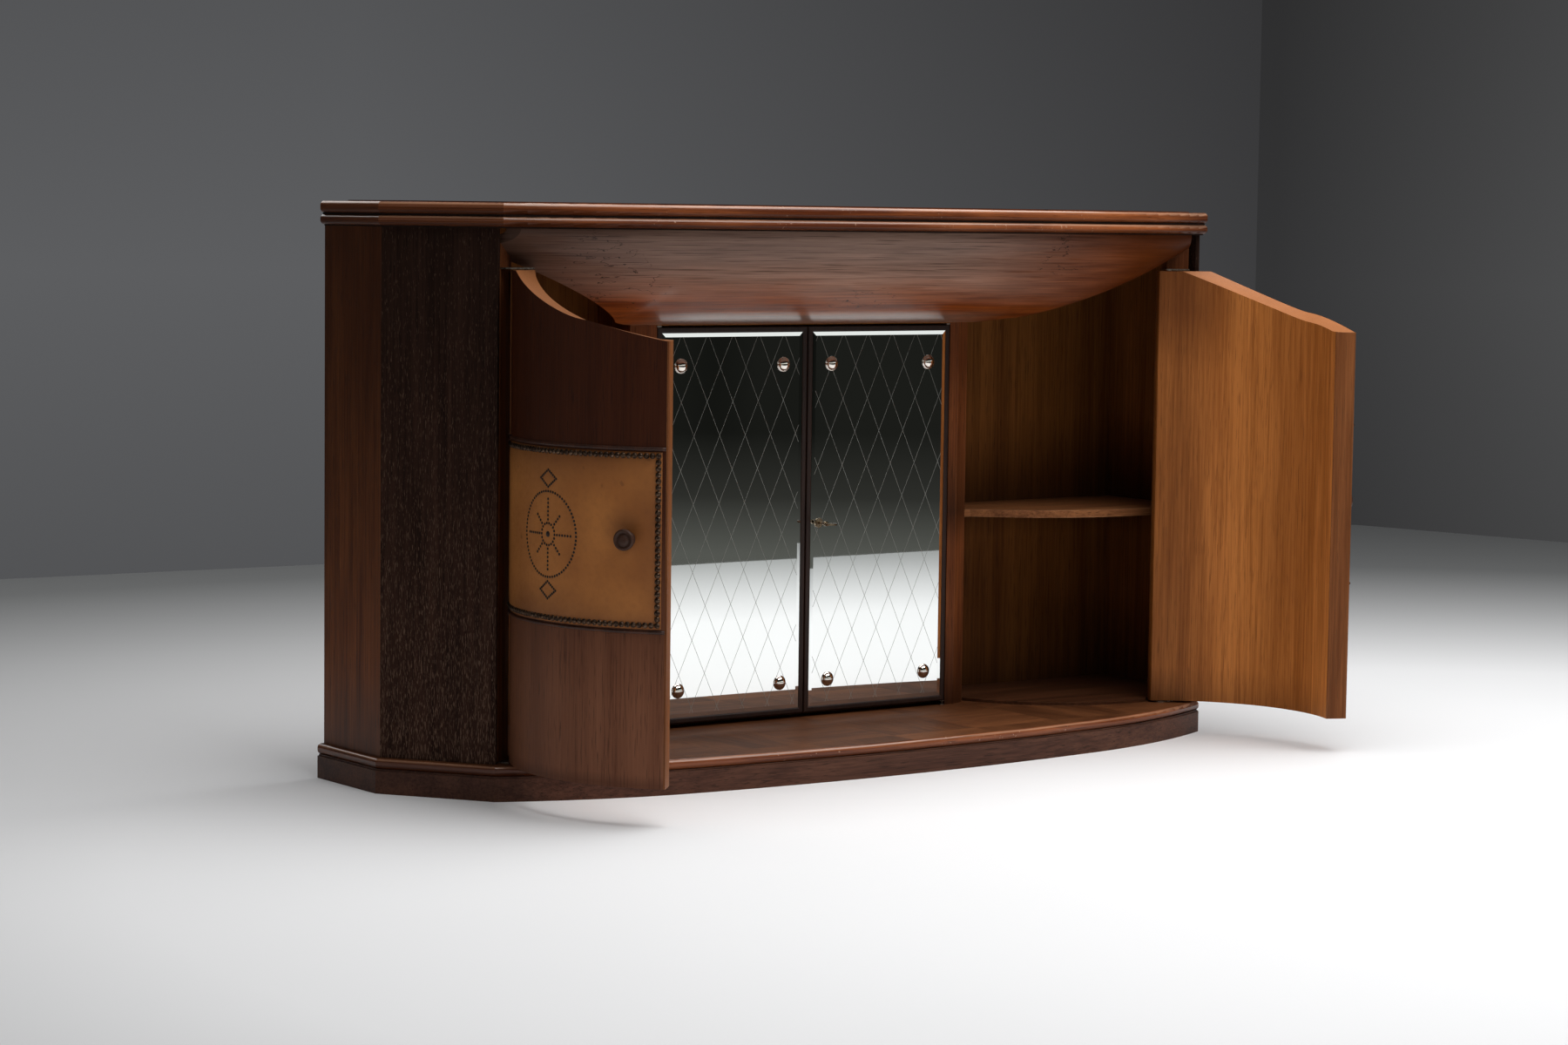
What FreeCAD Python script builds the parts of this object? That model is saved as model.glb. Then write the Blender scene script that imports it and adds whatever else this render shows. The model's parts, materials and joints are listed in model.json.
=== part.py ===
import FreeCAD, Part
import math
import os

# Bar console: a bow-fronted cabinet with two mirrored doors in the middle, two curved
# doors at the sides and a swelling apron above them. Millimetres, +Z up, the front
# faces -Y, and the origin is at the middle of the base, on the floor.

# Overall and shared sizes
overall_height = 1000.0
carcass_half_width = 908.0
back_y = 256.0
fit_gap = 0.3
running_gap = 1.5
overrun = 60.0
long_overrun = 240.0

# Plan of the carcass: straight sides, splayed corners and a bowed front
splay_width = 121.5
carcass_corner_y = -113.0
carcass_side_corner_y = 61.6
apron_apex_y = -231.5
bow_radius = 4000.0
bow_end_width = 336.5

# Plinth and deck, measured outwards from the carcass
plinth_overhang = 13.0
plinth_splay_width = 124.0
plinth_corner_reach = 15.0
plinth_side_reach = 7.6
plinth_apex_reach = 24.5
plinth_height = 42.0
plinth_thickness = 22.0
plinth_joint_inset = 7.0
bearer_thickness = 22.0
bearer_spacing = 430.0
groove_depth = 3.0
groove_width = 3.0
deck_thickness = 18.0
deck_rounding = 7.5

# Top boards, measured outwards from the carcass
top_overhang = 9.0
top_splay_width = 128.6
top_corner_reach = 19.0
top_side_reach = 4.6
top_apex_reach = 19.5
bead_thickness = 20.0
spacer_thickness = 3.0
spacer_inset = 5.0
lower_bead_thickness = 17.0
top_rounding = 7.5
neck_thickness = 2.5
neck_inset = 8.0
inlay_inset = 35.0
inlay_rise = 1.8

# Carcass boards
side_thickness = 28.0
corner_thickness = 20.0
corner_lip = 6.0
post_depth = 15.0
back_thickness = 12.5
floor_thickness = 6.0
shelf_thickness = 14.0
shelf_rise = 369.0
shelf_setback = 60.0
shelf_end_setback = 10.0
shelf_near_angle = 1.5
shelf_far_angle = 4.0
pin_length = 12.0
pin_width = 8.0
pin_thickness = 2.5
pin_rear_margin = 30.0
pin_front_margin = 28.0
header_thickness = 20.0

# Middle bay
side_bay_width = 573.0
partition_thickness = 20.0
mirror_plane_y = 82.0
stop_width = 30.0
stop_depth = 28.0
centre_floor_setback = 6.0
centre_shelf_setback = 12.0

# Apron
apron_thickness = 15.0
apron_drop = 169.5
apron_turn_margin = 45.0
apron_turn_radius = 300.0
apron_rise_angle = 21.0
apron_sweep = 60.0
apron_plan_fillet = 60.0
apron_behind_door = 17.0
apron_middle_margin = 15.0
apron_middle_spans = 6
apron_end_spans = 14

# Side doors, closed
pivot_inset_x = 64.5
pivot_inset_y = 14.1
door_radius = 319.0
door_thickness = 38.0
pivot_to_face = 24.0
door_start_angle = 100.5
door_bottom_gap = 4.0
door_top_drop = 69.0
door_apron_gap = 5.0
door_open_limit = 136.0
left_rest_opening = 114.9
right_rest_opening = 135.0
lipping_thickness = 3.0
pivot_radius = 4.0
pivot_washer_radius = 8.0
pivot_clearance = 0.05
pivot_depth = 20.0
pivot_plate_thickness = 2.5
pivot_plate_half = 14.0
leather_thickness = 1.5
leather_drop = 182.0
leather_height = 284.0
leather_start_angle = 2.0
leather_free_margin = 9.0
bead_radius = 3.0
bead_gap = 5.0
bead_crest_share = 0.45
knob_rise = 144.0
knob_arc_angle = 69.5
knob_radius = 17.5
knob_projection = 26.0
knob_radius_shares = (0.69, 0.69, 0.4, 0.4, 1.0, 1.0, 0.72)
knob_height_shares = (0.0, 0.14, 0.14, 0.5, 0.7, 0.85, 1.0)

# Mirror doors
leaf_gap = 1.0
leaf_side_gap = 1.2
leaf_bottom_gap = 8.5
leaf_top_gap = 4.5
leaf_thickness = 18.0
mirror_thickness = 4.0
mirror_bevel = 7.0
mirror_edge_thickness = 2.0
frame_width = 10.5
frame_proud = 1.0
frame_rounding = 2.6
rosette_radius = 13.5
rosette_height = 6.0
rosette_radius_shares = (1.0, 1.0, 0.62)
rosette_height_shares = (0.0, 0.25, 0.82)
rosette_inner_inset = 54.0
rosette_outer_inset = 51.8
rosette_bottom_inset = 59.5
rosette_top_inset = 69.5
hinge_inset_x = 4.0
hinge_inset_y = 2.5
hinge_pin_radius = 1.2
hinge_clearance = 0.05
hinge_drill_clearance = 0.2
hinge_pin_reach = 12.0
hinge_plate_width = 9.0
hinge_plate_depth = 16.0
hinge_fixed_thickness = 1.5
hinge_moving_thickness = 1.2

# Lock
lock_x = 30.0
lock_rise = 351.5
lock_width = 34.0
lock_height = 46.0
lock_depth = 14.0
bolt_height = 10.0
bolt_thickness = 4.0
bolt_travel = 10.0
bolt_gap = 0.3
bolt_cover_share = 1 / 3
bolt_nose_x = 2.0
bolt_end_margin = 5.0
bolt_end_gap = 1.2
key_radius = 2.5
key_hole_gap = 0.08
key_projection = 47.0
key_bow_length = 26.0
key_bow_depth = 20.0
key_bow_wall = 3.6
key_bow_thickness = 3.0
key_neck_length = 2.0
key_end_gap = 0.6
key_collar_radius = 4.5
key_collar_length = 5.0
escutcheon_radius = 9.0
escutcheon_thickness = 1.6
keep_wall = 2.5

up = FreeCAD.Vector(0, 0, 1)
deck_top = plinth_height + deck_thickness
floor_top = deck_top + floor_thickness
shelf_top = deck_top + shelf_rise
underside_z = overall_height - bead_thickness - spacer_thickness - lower_bead_thickness - neck_thickness
apron_flat_z = underside_z - apron_drop
carcass_corner = (carcass_half_width - splay_width, carcass_corner_y)
bow_join = carcass_corner[0] - bow_end_width
partition_inner_x = carcass_half_width - side_bay_width
apron_turn_x = partition_inner_x + apron_turn_margin
apron_middle_half = partition_inner_x + apron_middle_margin
door_pivot = (carcass_corner[0] - pivot_inset_x, carcass_corner[1] + pivot_inset_y)
door_bottom = deck_top + door_bottom_gap
door_top_cap = underside_z - door_top_drop
leather_top = apron_flat_z - leather_drop
leather_bottom = leather_top - leather_height
knob_height = leather_bottom + knob_rise
leaf_bottom = deck_top + leaf_bottom_gap
leaf_top = apron_flat_z - leaf_top_gap
lock_z = leaf_bottom + lock_rise
lower_bead_z = underside_z + neck_thickness
spacer_z = lower_bead_z + lower_bead_thickness
upper_bead_z = spacer_z + spacer_thickness
back_inner_y = back_y - back_thickness
side_inner_x = carcass_half_width - side_thickness
stop_x = partition_inner_x + partition_thickness
door_inner_radius = door_radius - door_thickness
pivot_x, pivot_y = door_pivot
start = math.radians(door_start_angle)
center_x = pivot_x + (door_radius - pivot_to_face) * math.cos(start)
center_y = pivot_y + (door_radius - pivot_to_face) * math.sin(start)
stop_turn = math.atan2(center_y - mirror_plane_y, center_x - stop_x)
door_arc_angle = door_start_angle - math.degrees(stop_turn + running_gap / door_radius)


def vec(x, y, z=0.0):
    return FreeCAD.Vector(x, y, z)


def line(a, b):
    return Part.LineSegment(a, b).toShape()


def arc(a, b, c):
    return Part.Arc(a, b, c).toShape()


def mirrored(shape):
    return shape.mirror(vec(0, 0), vec(1, 0))


def save(name, *shapes):
    shape = shapes[0] if len(shapes) == 1 else Part.makeCompound(list(shapes))
    shape.exportStep("parts/" + name + ".step")
    print(name, len(shape.Solids), shape.isValid(), round(shape.Volume))


def save_pair(name, *shapes):
    save(name + "_right", *shapes)
    save(name + "_left", *[mirrored(shape) for shape in shapes])


def block(x0, x1, y0, y1, z0, z1):
    return Part.makeBox(x1 - x0, y1 - y0, z1 - z0, vec(x0, y0, z0))


def prism(points, z0, z1):
    corners = [vec(x, y, z0) for x, y in points]
    face = Part.Face(Part.makePolygon(corners + corners[:1]))
    return face.extrude(vec(0, 0, z1 - z0))


def post(radius, x, y, z0, z1):
    return Part.makeCylinder(radius, z1 - z0, vec(x, y, z0))


class Bow:
    """Three tangent arcs in plan: a flat middle and a tighter end towards each corner."""

    def __init__(self, apex_y, corner):
        self.apex_y = apex_y
        self.corner_x, self.corner_y = corner
        self.middle_y = apex_y + bow_radius
        self.join_y = self.flat(bow_join)
        run = self.corner_x - bow_join
        drop = self.corner_y - self.join_y
        toward_x = -bow_join / bow_radius
        toward_y = (self.middle_y - self.join_y) / bow_radius
        self.end_radius = (run ** 2 + drop ** 2) / (2 * (run * toward_x + drop * toward_y))
        self.end_x = bow_join + self.end_radius * toward_x
        self.end_y = self.join_y + self.end_radius * toward_y

    def flat(self, x):
        return self.middle_y - math.sqrt(bow_radius ** 2 - x ** 2)

    def y(self, x):
        x = abs(x)
        if x <= bow_join:
            return self.flat(x)
        return self.end_y - math.sqrt(self.end_radius ** 2 - (x - self.end_x) ** 2)

    def corner_slope(self):
        return math.asin((self.corner_x - self.end_x) / self.end_radius)

    def edges(self, z):
        middle = (bow_join + self.corner_x) / 2
        stops = (-self.corner_x, -middle, -bow_join, 0, bow_join, middle, self.corner_x)
        points = [vec(x, self.y(x), z) for x in stops]
        return [arc(*points[i:i + 3]) for i in (0, 2, 4)]


def outline(half_width, side_corner_y, corner, apex_y, z, rear_y=back_y):
    """Closed plan wire of a board: bowed front, splayed corners, straight sides and back."""
    bow = Bow(apex_y, corner)
    rear = vec(half_width, rear_y, z)
    side = vec(half_width, side_corner_y, z)
    front = vec(corner[0], corner[1], z)
    rear_left = vec(-half_width, rear_y, z)
    side_left = vec(-half_width, side_corner_y, z)
    front_left = vec(-corner[0], corner[1], z)
    edges = bow.edges(z)
    edges += [line(front, side), line(side, rear), line(rear, rear_left)]
    edges += [line(rear_left, side_left), line(side_left, front_left)]
    return Part.Wire(Part.__sortEdges__(edges))


def board(half_width, side_corner_y, corner, apex_y, z, thickness, rear_y=back_y):
    wire = outline(half_width, side_corner_y, corner, apex_y, z, rear_y)
    return Part.Face(wire).extrude(vec(0, 0, thickness))


def inset_board(base, inset, z, thickness, rear_inset):
    """The same plan as a board, drawn in by an equal distance at the front, splays and sides."""
    half_width, side_corner_y, corner, apex_y = base
    splay = math.atan2(side_corner_y - corner[1], half_width - corner[0])
    front = Bow(apex_y, corner).corner_slope()
    reach = inset / (1 + math.cos(splay - front))
    inner_corner = (corner[0] - reach * (math.sin(front) + math.sin(splay)),
                    corner[1] + reach * (math.cos(front) + math.cos(splay)))
    side_shift = inset * math.tan((math.pi / 2 - splay) / 2)
    return board(half_width - inset, side_corner_y + side_shift, inner_corner,
                 apex_y + inset, z, thickness, back_y - rear_inset)


def round_rim(shape, z_levels, radius):
    """Rounds the rim edges of a board at the given heights, along the front and sides."""
    picked = []
    for edge in shape.Edges:
        box = edge.BoundBox
        level = any(abs(box.ZMin - z) < fit_gap and abs(box.ZMax - z) < fit_gap for z in z_levels)
        at_back = box.YMin > back_y - running_gap
        if level and not at_back:
            picked.append(edge)
    return shape.makeFillet(radius, picked)


def plan(overhang, own_splay_width, corner_reach, side_reach, apex_reach):
    """Plan of a board that stands out from the carcass all round."""
    half_width = carcass_half_width + overhang
    corner = (half_width - own_splay_width, carcass_corner_y - corner_reach)
    return half_width, carcass_side_corner_y - side_reach, corner, apron_apex_y - apex_reach


plinth_plan = plan(plinth_overhang, plinth_splay_width, plinth_corner_reach, plinth_side_reach,
                   plinth_apex_reach)
top_plan = plan(top_overhang, top_splay_width, top_corner_reach, top_side_reach, top_apex_reach)


def plinth():
    half_width, side_corner_y, corner, apex_y = plinth_plan
    ring = board(*plinth_plan, 0, plinth_height)
    inside = inset_board(plinth_plan, plinth_thickness, 0, plinth_height, plinth_thickness)
    ring = ring.cut(inside)
    groove_z = plinth_height - groove_width
    groove = board(*plinth_plan, groove_z, groove_width)
    ring = ring.cut(groove.cut(inset_board(plinth_plan, groove_depth, groove_z, groove_width, 0)))
    joint_x = corner[0] - plinth_joint_inset
    inner_y = back_y - plinth_thickness
    front_zone = block(-joint_x, joint_x, apex_y - overrun, side_corner_y, -overrun, overall_height)
    rear_zone = block(-half_width, half_width, inner_y, back_y, -overrun, overall_height)
    side_zone = block(half_width - plinth_thickness, half_width + overrun, side_corner_y, inner_y,
                      -overrun, overall_height)
    side = ring.common(side_zone)
    corners = ring.cut(front_zone).cut(rear_zone).cut(side_zone).cut(mirrored(side_zone))
    save("plinth_front", ring.common(front_zone))
    save("plinth_back", ring.common(rear_zone))
    save("plinth_sides", side, mirrored(side), *corners.Solids)
    bearers = []
    for x in (-bearer_spacing, 0, bearer_spacing):
        zone = block(x - bearer_thickness / 2, x + bearer_thickness / 2, apex_y, back_y, 0, plinth_height)
        bearers.append(zone.common(inside))
    save("plinth_bearers", *bearers)


def deck():
    shape = board(*plinth_plan, plinth_height, deck_thickness)
    save("deck_board", round_rim(shape, (plinth_height, deck_top), deck_rounding))


def top():
    neck = inset_board(top_plan, neck_inset, underside_z, neck_thickness, 0)
    lower = board(*top_plan, lower_bead_z, lower_bead_thickness)
    lower = round_rim(lower, (lower_bead_z, spacer_z), top_rounding)
    save("top_lower_board", lower)
    save("top_neck_board", neck)
    save("top_spacer", inset_board(top_plan, spacer_inset, spacer_z, spacer_thickness, 0))
    upper = board(*top_plan, upper_bead_z, bead_thickness)
    save("top_upper_board", round_rim(upper, (upper_bead_z, overall_height), top_rounding))
    save("top_inlay", inset_board(top_plan, inlay_inset, overall_height, inlay_rise, inlay_inset))


splay_x = carcass_half_width - carcass_corner[0]
splay_y = carcass_side_corner_y - carcass_corner[1]
splay_length = math.hypot(splay_x, splay_y)
splay_normal = (splay_y / splay_length, -splay_x / splay_length)


def splay_point(depth, along):
    """A point measured inwards from the splayed corner face and back from the front corner."""
    x = carcass_corner[0] - splay_normal[0] * depth + splay_x / splay_length * along
    y = carcass_corner[1] - splay_normal[1] * depth + splay_y / splay_length * along
    return (x, y)


lip_x = carcass_corner[0] - corner_lip


def behind_splay(gap):
    """Everything beyond the inner face of the right splayed panel, to cut neighbours with."""
    depth = corner_thickness + gap
    near = splay_point(depth, -overrun)
    far = splay_point(depth, splay_length + overrun)
    outer_far = splay_point(-long_overrun, splay_length + overrun)
    outer_near = splay_point(-long_overrun, -overrun)
    return prism((near, outer_near, outer_far, far), -overrun, overall_height + overrun)


def carcass():
    side = block(side_inner_x, carcass_half_width, carcass_side_corner_y, back_y, deck_top, underside_z)
    side = side.cut(prism((splay_point(corner_thickness, 0), splay_point(-overrun, 0),
                           splay_point(-overrun, splay_length), splay_point(0, splay_length),
                           splay_point(corner_thickness, splay_length)), deck_top, underside_z))
    panel = prism((splay_point(0, 0), splay_point(0, splay_length),
                   splay_point(corner_thickness, splay_length), splay_point(corner_thickness, 0)),
                  deck_top, underside_z)
    panel = panel.cut(block(0, lip_x, carcass_corner[1] - overrun, back_y, 0, overall_height))
    save_pair("side_panel", side)
    save_pair("corner_panel", panel)
    save("back_panel", block(-side_inner_x, side_inner_x, back_inner_y, back_y, deck_top, underside_z))
    divider = block(partition_inner_x, stop_x, mirror_plane_y, back_inner_y, deck_top, underside_z)
    save_pair("partition", divider)
    rise = stop_width * math.tan(stop_turn)
    stop = prism(((stop_x, mirror_plane_y), (stop_x + stop_width, mirror_plane_y + rise),
                  (stop_x + stop_width, mirror_plane_y + stop_depth),
                  (stop_x, mirror_plane_y + stop_depth)), deck_top, underside_z)
    save_pair("stop_post", stop)
    save("header_rail", block(-partition_inner_x, partition_inner_x, mirror_plane_y,
                              mirror_plane_y + header_thickness, apron_flat_z - running_gap, underside_z))


apron_top = Bow(apron_apex_y, carcass_corner)
plan_radius = door_inner_radius - apron_behind_door
apron_rear_y = mirror_plane_y - fit_gap
fillet_y = apron_rear_y - apron_plan_fillet
fillet_x = center_x - math.sqrt((plan_radius + apron_plan_fillet) ** 2 - (center_y - fillet_y) ** 2)
touch_share = apron_plan_fillet / (plan_radius + apron_plan_fillet)
touch_x = fillet_x + (center_x - fillet_x) * touch_share


def apron_low_y(x):
    """Plan line of the apron's lower edge: straight, then a hollow turn, then round the door."""
    x = abs(x)
    if x < fillet_x:
        return apron_rear_y
    if x < touch_x:
        return fillet_y + math.sqrt(apron_plan_fillet ** 2 - (x - fillet_x) ** 2)
    return center_y - math.sqrt(plan_radius ** 2 - (x - center_x) ** 2)


rise_angle = math.radians(apron_rise_angle)
rise_x = apron_turn_x + apron_turn_radius * math.sin(rise_angle)
rise_z = apron_flat_z + apron_turn_radius * (1 - math.cos(rise_angle))


def apron_low_z(x):
    """Height of the apron's lower edge: level in the middle, then rising to the corners."""
    x = abs(x)
    if x < apron_turn_x:
        return apron_flat_z
    if x < rise_x:
        drop = math.sqrt(apron_turn_radius ** 2 - (x - apron_turn_x) ** 2)
        return apron_flat_z + apron_turn_radius - drop
    return rise_z + (x - rise_x) * math.tan(rise_angle)


def section_arc(x, inset):
    """Swelling section at x: an elliptical arc from the top line to the lower edge."""
    sweep = math.radians(apron_sweep)
    top_y = apron_top.y(x) + inset
    depth = (apron_low_y(x) - top_y) / (1 - math.cos(sweep))
    height = (underside_z - apron_low_z(x) - inset) / math.sin(sweep)
    first = vec(x, top_y, underside_z)
    last = vec(x, apron_low_y(x), apron_low_z(x) + inset)
    corner = vec(x, top_y, underside_z - height * math.tan(sweep / 2))
    reach = 4 / 3 * math.tan(sweep / 4) / math.tan(sweep / 2)
    curve = Part.BezierCurve()
    curve.setPoles([first, first + (corner - first) * reach, last + (corner - last) * reach, last])
    return curve.toShape(), first, last


def solid_section(x):
    """Apron section filled back to behind the mirror doors, to cut what passes underneath."""
    outer, outer_top, outer_low = section_arc(x, 0)
    low_rear = outer_low + vec(0, overrun)
    rear = vec(x, low_rear.y, underside_z)
    return Part.Wire([outer, line(outer_low, low_rear), line(low_rear, rear), line(rear, outer_top)])


def skin_section(x):
    """Apron section filled up to the vertical line over its lower edge."""
    outer, outer_top, outer_low = section_arc(x, 0)
    rear = vec(x, outer_low.y, underside_z)
    return Part.Wire([outer, line(outer_low, rear), line(rear, outer_top)])


def hollow_section(x):
    """What is scooped out behind the skin, running out at the top and rear."""
    inner, inner_top, inner_low = section_arc(x, apron_thickness)
    low_rear = inner_low + vec(0, overrun)
    high_rear = vec(x, low_rear.y, overall_height)
    high_front = vec(x, inner_top.y, overall_height)
    return Part.Wire([inner, line(inner_low, low_rear), line(low_rear, high_rear),
                      line(high_rear, high_front), line(high_front, inner_top)])


def apron_places(first, last, spans):
    """Evenly spaced stations along the apron."""
    return [first + (last - first) * step / spans for step in range(spans + 1)]


def apron_span(first, last, spans):
    """One length of the apron: a smooth skin with a plainly shaped hollow behind it."""
    places = apron_places(first, last, spans)
    skin = Part.makeLoft([skin_section(x) for x in places], True, False)
    return skin.cut(Part.makeLoft([hollow_section(x) for x in places], True, True))


def apron_shell():
    """Hollow apron in three lengths: the long middle and the turn towards each corner."""
    middle = apron_span(-apron_middle_half, apron_middle_half, apron_middle_spans)
    end = apron_span(apron_middle_half, carcass_corner[0], apron_end_spans)
    shell = middle.fuse([end, mirrored(end)])
    beyond = block(lip_x, lip_x + long_overrun, -back_y - overrun, back_y, 0, overall_height)
    for tool in (beyond, behind_splay(0)):
        shell = shell.cut(tool).cut(mirrored(tool))
    return shell


def apron_body():
    """The apron without its hollow, used to shape what must pass underneath."""
    places = apron_places(apron_middle_half, carcass_corner[0], apron_end_spans)
    return Part.makeLoft([solid_section(x) for x in places], True, False)


filled_apron = apron_body()


def place_on_door(angle, radius):
    """A point on the closed right door, by its angle from the pivot end round the centre."""
    turn = start - math.pi - math.radians(angle)
    return (center_x + radius * math.cos(turn), center_y + radius * math.sin(turn))


def door_plan(outer, inner, first, last, z0, z1):
    """A curved board between two radii and two angles of the closed door."""
    middle = (first + last) / 2
    a, b, c = [vec(*place_on_door(angle, outer), z0) for angle in (first, middle, last)]
    d, e, f = [vec(*place_on_door(angle, inner), z0) for angle in (last, middle, first)]
    wire = Part.Wire([arc(a, b, c), line(c, d), arc(d, e, f), line(f, a)])
    return Part.Face(wire).extrude(vec(0, 0, z1 - z0))


def door_clearance():
    """What the closed door's top must stay below."""
    cap = block(0, carcass_half_width, -back_y - overrun, back_y, door_top_cap, overall_height + overrun)
    low = filled_apron.translated(vec(0, 0, -door_apron_gap))
    return cap, low


def pivot_plan():
    """Plate round the pivot, with a tail towards the corner post."""
    tail = block(pivot_x, lip_x, pivot_y - pivot_plate_half, pivot_y + pivot_plate_half,
                 0, pivot_plate_thickness)
    return post(pivot_plate_half, pivot_x, pivot_y, 0, pivot_plate_thickness).fuse(tail).removeSplitter()


cove_radius = pivot_to_face + bead_radius + running_gap
limit_turn = math.radians(door_open_limit + door_start_angle - 180)
foot_x = pivot_x + cove_radius * math.cos(limit_turn)
foot_y = pivot_y + cove_radius * math.sin(limit_turn)
reveal_y = foot_y - (lip_x - foot_x) * math.tan(math.pi / 2 - limit_turn)
post_rear_y = foot_y + post_depth
upper_plate_z = door_top_cap + running_gap


def corner_post():
    """Post behind the splayed corner, with a slanting face that the open door lies along."""
    shape = prism(((lip_x, reveal_y), (foot_x, foot_y), (foot_x, post_rear_y), (lip_x, post_rear_y)),
                  deck_top, underside_z)
    shape = shape.cut(filled_apron).cut(behind_splay(0))
    for z in (deck_top, upper_plate_z):
        shape = shape.cut(pivot_plan().translated(vec(0, 0, z)))
    return max(shape.Solids, key=lambda solid: solid.Volume)


def pivot_plates():
    hole = post(pivot_radius + pivot_clearance, pivot_x, pivot_y, -overrun, overrun)
    plate = pivot_plan().cut(behind_splay(0)).cut(hole)
    plate = plate.cut(block(lip_x - corner_lip, carcass_half_width, -back_y, back_y, -overrun, overrun))
    lower = plate.translated(vec(0, 0, deck_top))
    upper = plate.translated(vec(0, 0, upper_plate_z))
    return [lower, upper]


def side_door():
    """Curved door with a rounded pivot end and a top that follows the apron's underside."""
    bottom, top_z = door_bottom, overall_height
    shape = door_plan(door_radius, door_inner_radius, 0, door_arc_angle, bottom, top_z)
    inner_cut = post(door_inner_radius, center_x, center_y, bottom - overrun, top_z + overrun)
    end = post(pivot_to_face, pivot_x, pivot_y, bottom, top_z).cut(inner_cut)
    shape = shape.fuse(end).removeSplitter()
    for tool in door_clearance():
        shape = shape.cut(tool)
    drill = post(pivot_radius, pivot_x, pivot_y, bottom - overrun, bottom + pivot_depth)
    upper_drill = post(pivot_radius, pivot_x, pivot_y, door_top_cap - pivot_depth, overall_height)
    return shape.cut(drill).cut(upper_drill)


def door_lipping(shape):
    """Thin strip of solid wood glued on the free end."""
    lip_angle = math.degrees(lipping_thickness / door_radius)
    zone = door_plan(door_radius + overrun, door_inner_radius - overrun,
                     door_arc_angle - lip_angle, door_arc_angle + lip_angle, 0, overall_height)
    return shape.cut(zone), shape.common(zone)


def door_pivots():
    low = post(pivot_radius, pivot_x, pivot_y, deck_top + fit_gap, door_bottom + pivot_depth)
    washer = post(pivot_washer_radius, pivot_x, pivot_y, deck_top + pivot_plate_thickness + fit_gap,
                  door_bottom)
    high = post(pivot_radius, pivot_x, pivot_y, door_top_cap - pivot_depth,
                upper_plate_z + pivot_plate_thickness)
    return [low.fuse(washer).removeSplitter(), high]


def leather_panel():
    last = door_arc_angle - math.degrees(leather_free_margin / door_radius)
    return door_plan(door_radius + leather_thickness, door_radius, leather_start_angle, last,
                     leather_bottom, leather_top)


def leather_bead(z):
    """Slender bevelled moulding bent round the door face."""
    x, y = place_on_door(leather_start_angle, door_radius)
    last = door_arc_angle - math.degrees(lipping_thickness / door_radius)
    toward = vec(x - center_x, y - center_y)
    toward.normalize()
    base = vec(x, y, z)
    rise = vec(0, 0, bead_radius)
    crest = base + toward * bead_radius
    corners = [base - rise, base + rise, crest + rise * bead_crest_share, crest - rise * bead_crest_share]
    profile = Part.Face(Part.makePolygon(corners + corners[:1]))
    return profile.revolve(vec(center_x, center_y), up, leather_start_angle - last)


def turned(radius, height, radius_shares, height_shares):
    """A turned boss: its profile is given in shares of its radius and height, round the Y axis."""
    rim = [vec(radius * r, height * h) for r, h in zip(radius_shares, height_shares)]
    corners = [vec(0, 0)] + rim + [vec(0, height)]
    profile = Part.Face(Part.makePolygon(corners + corners[:1]))
    return profile.revolve(vec(0, 0), vec(0, 1), 360)


def knob():
    """Turned knob: base ring, slender neck and a ringed head, square to the door face."""
    shape = turned(knob_radius, knob_projection, knob_radius_shares, knob_height_shares)
    turn = start - math.pi - math.radians(knob_arc_angle)
    shape.rotate(vec(0, 0), up, math.degrees(turn) - 90)
    x, y = place_on_door(knob_arc_angle, door_radius + leather_thickness)
    shape.translate(vec(x, y, knob_height))
    return shape


def side_doors():
    shell, lipping = door_lipping(side_door())
    parts = {
        "side_door_panel": [shell],
        "side_door_lipping": [lipping],
        "side_door_pivots": door_pivots(),
        "leather_panel": [leather_panel()],
        "leather_beads": [leather_bead(leather_top + bead_gap), leather_bead(leather_bottom - bead_gap)],
        "side_door_knob": [knob()],
    }
    for name, shapes in parts.items():
        opened = [s.rotated(vec(pivot_x, pivot_y), up, right_rest_opening) for s in shapes]
        save(name + "_right", *opened)
        left = [mirrored(s.rotated(vec(pivot_x, pivot_y), up, left_rest_opening)) for s in shapes]
        save(name + "_left", *left)


def bay_floor(z0, z1, front):
    """Right compartment board between partition, back, side and splay, with its own front."""
    shape = block(stop_x + fit_gap, side_inner_x - fit_gap, -back_y, back_inner_y - fit_gap, z0, z1)
    shape = shape.common(front).cut(behind_splay(fit_gap))
    stop = block(0, stop_x + stop_width + fit_gap, -back_y, mirror_plane_y + stop_depth + fit_gap, z0, z1)
    return shape.cut(stop)


def compartment_floor():
    rear = mirror_plane_y + stop_depth + fit_gap
    edge = post(door_inner_radius - running_gap, center_x, center_y, 0, overall_height)
    behind = block(0, center_x, rear, back_y, 0, overall_height)
    beside = block(center_x, carcass_half_width, post_rear_y + fit_gap, back_y, 0, overall_height)
    front = edge.fuse(behind).fuse(beside)
    shape = bay_floor(deck_top, floor_top, front)
    shape = shape.cut(post(cove_radius, pivot_x, pivot_y, 0, overall_height))
    corner = block(foot_x - fit_gap, carcass_half_width, -back_y, post_rear_y + fit_gap, 0, overall_height)
    return shape.cut(corner)


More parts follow.
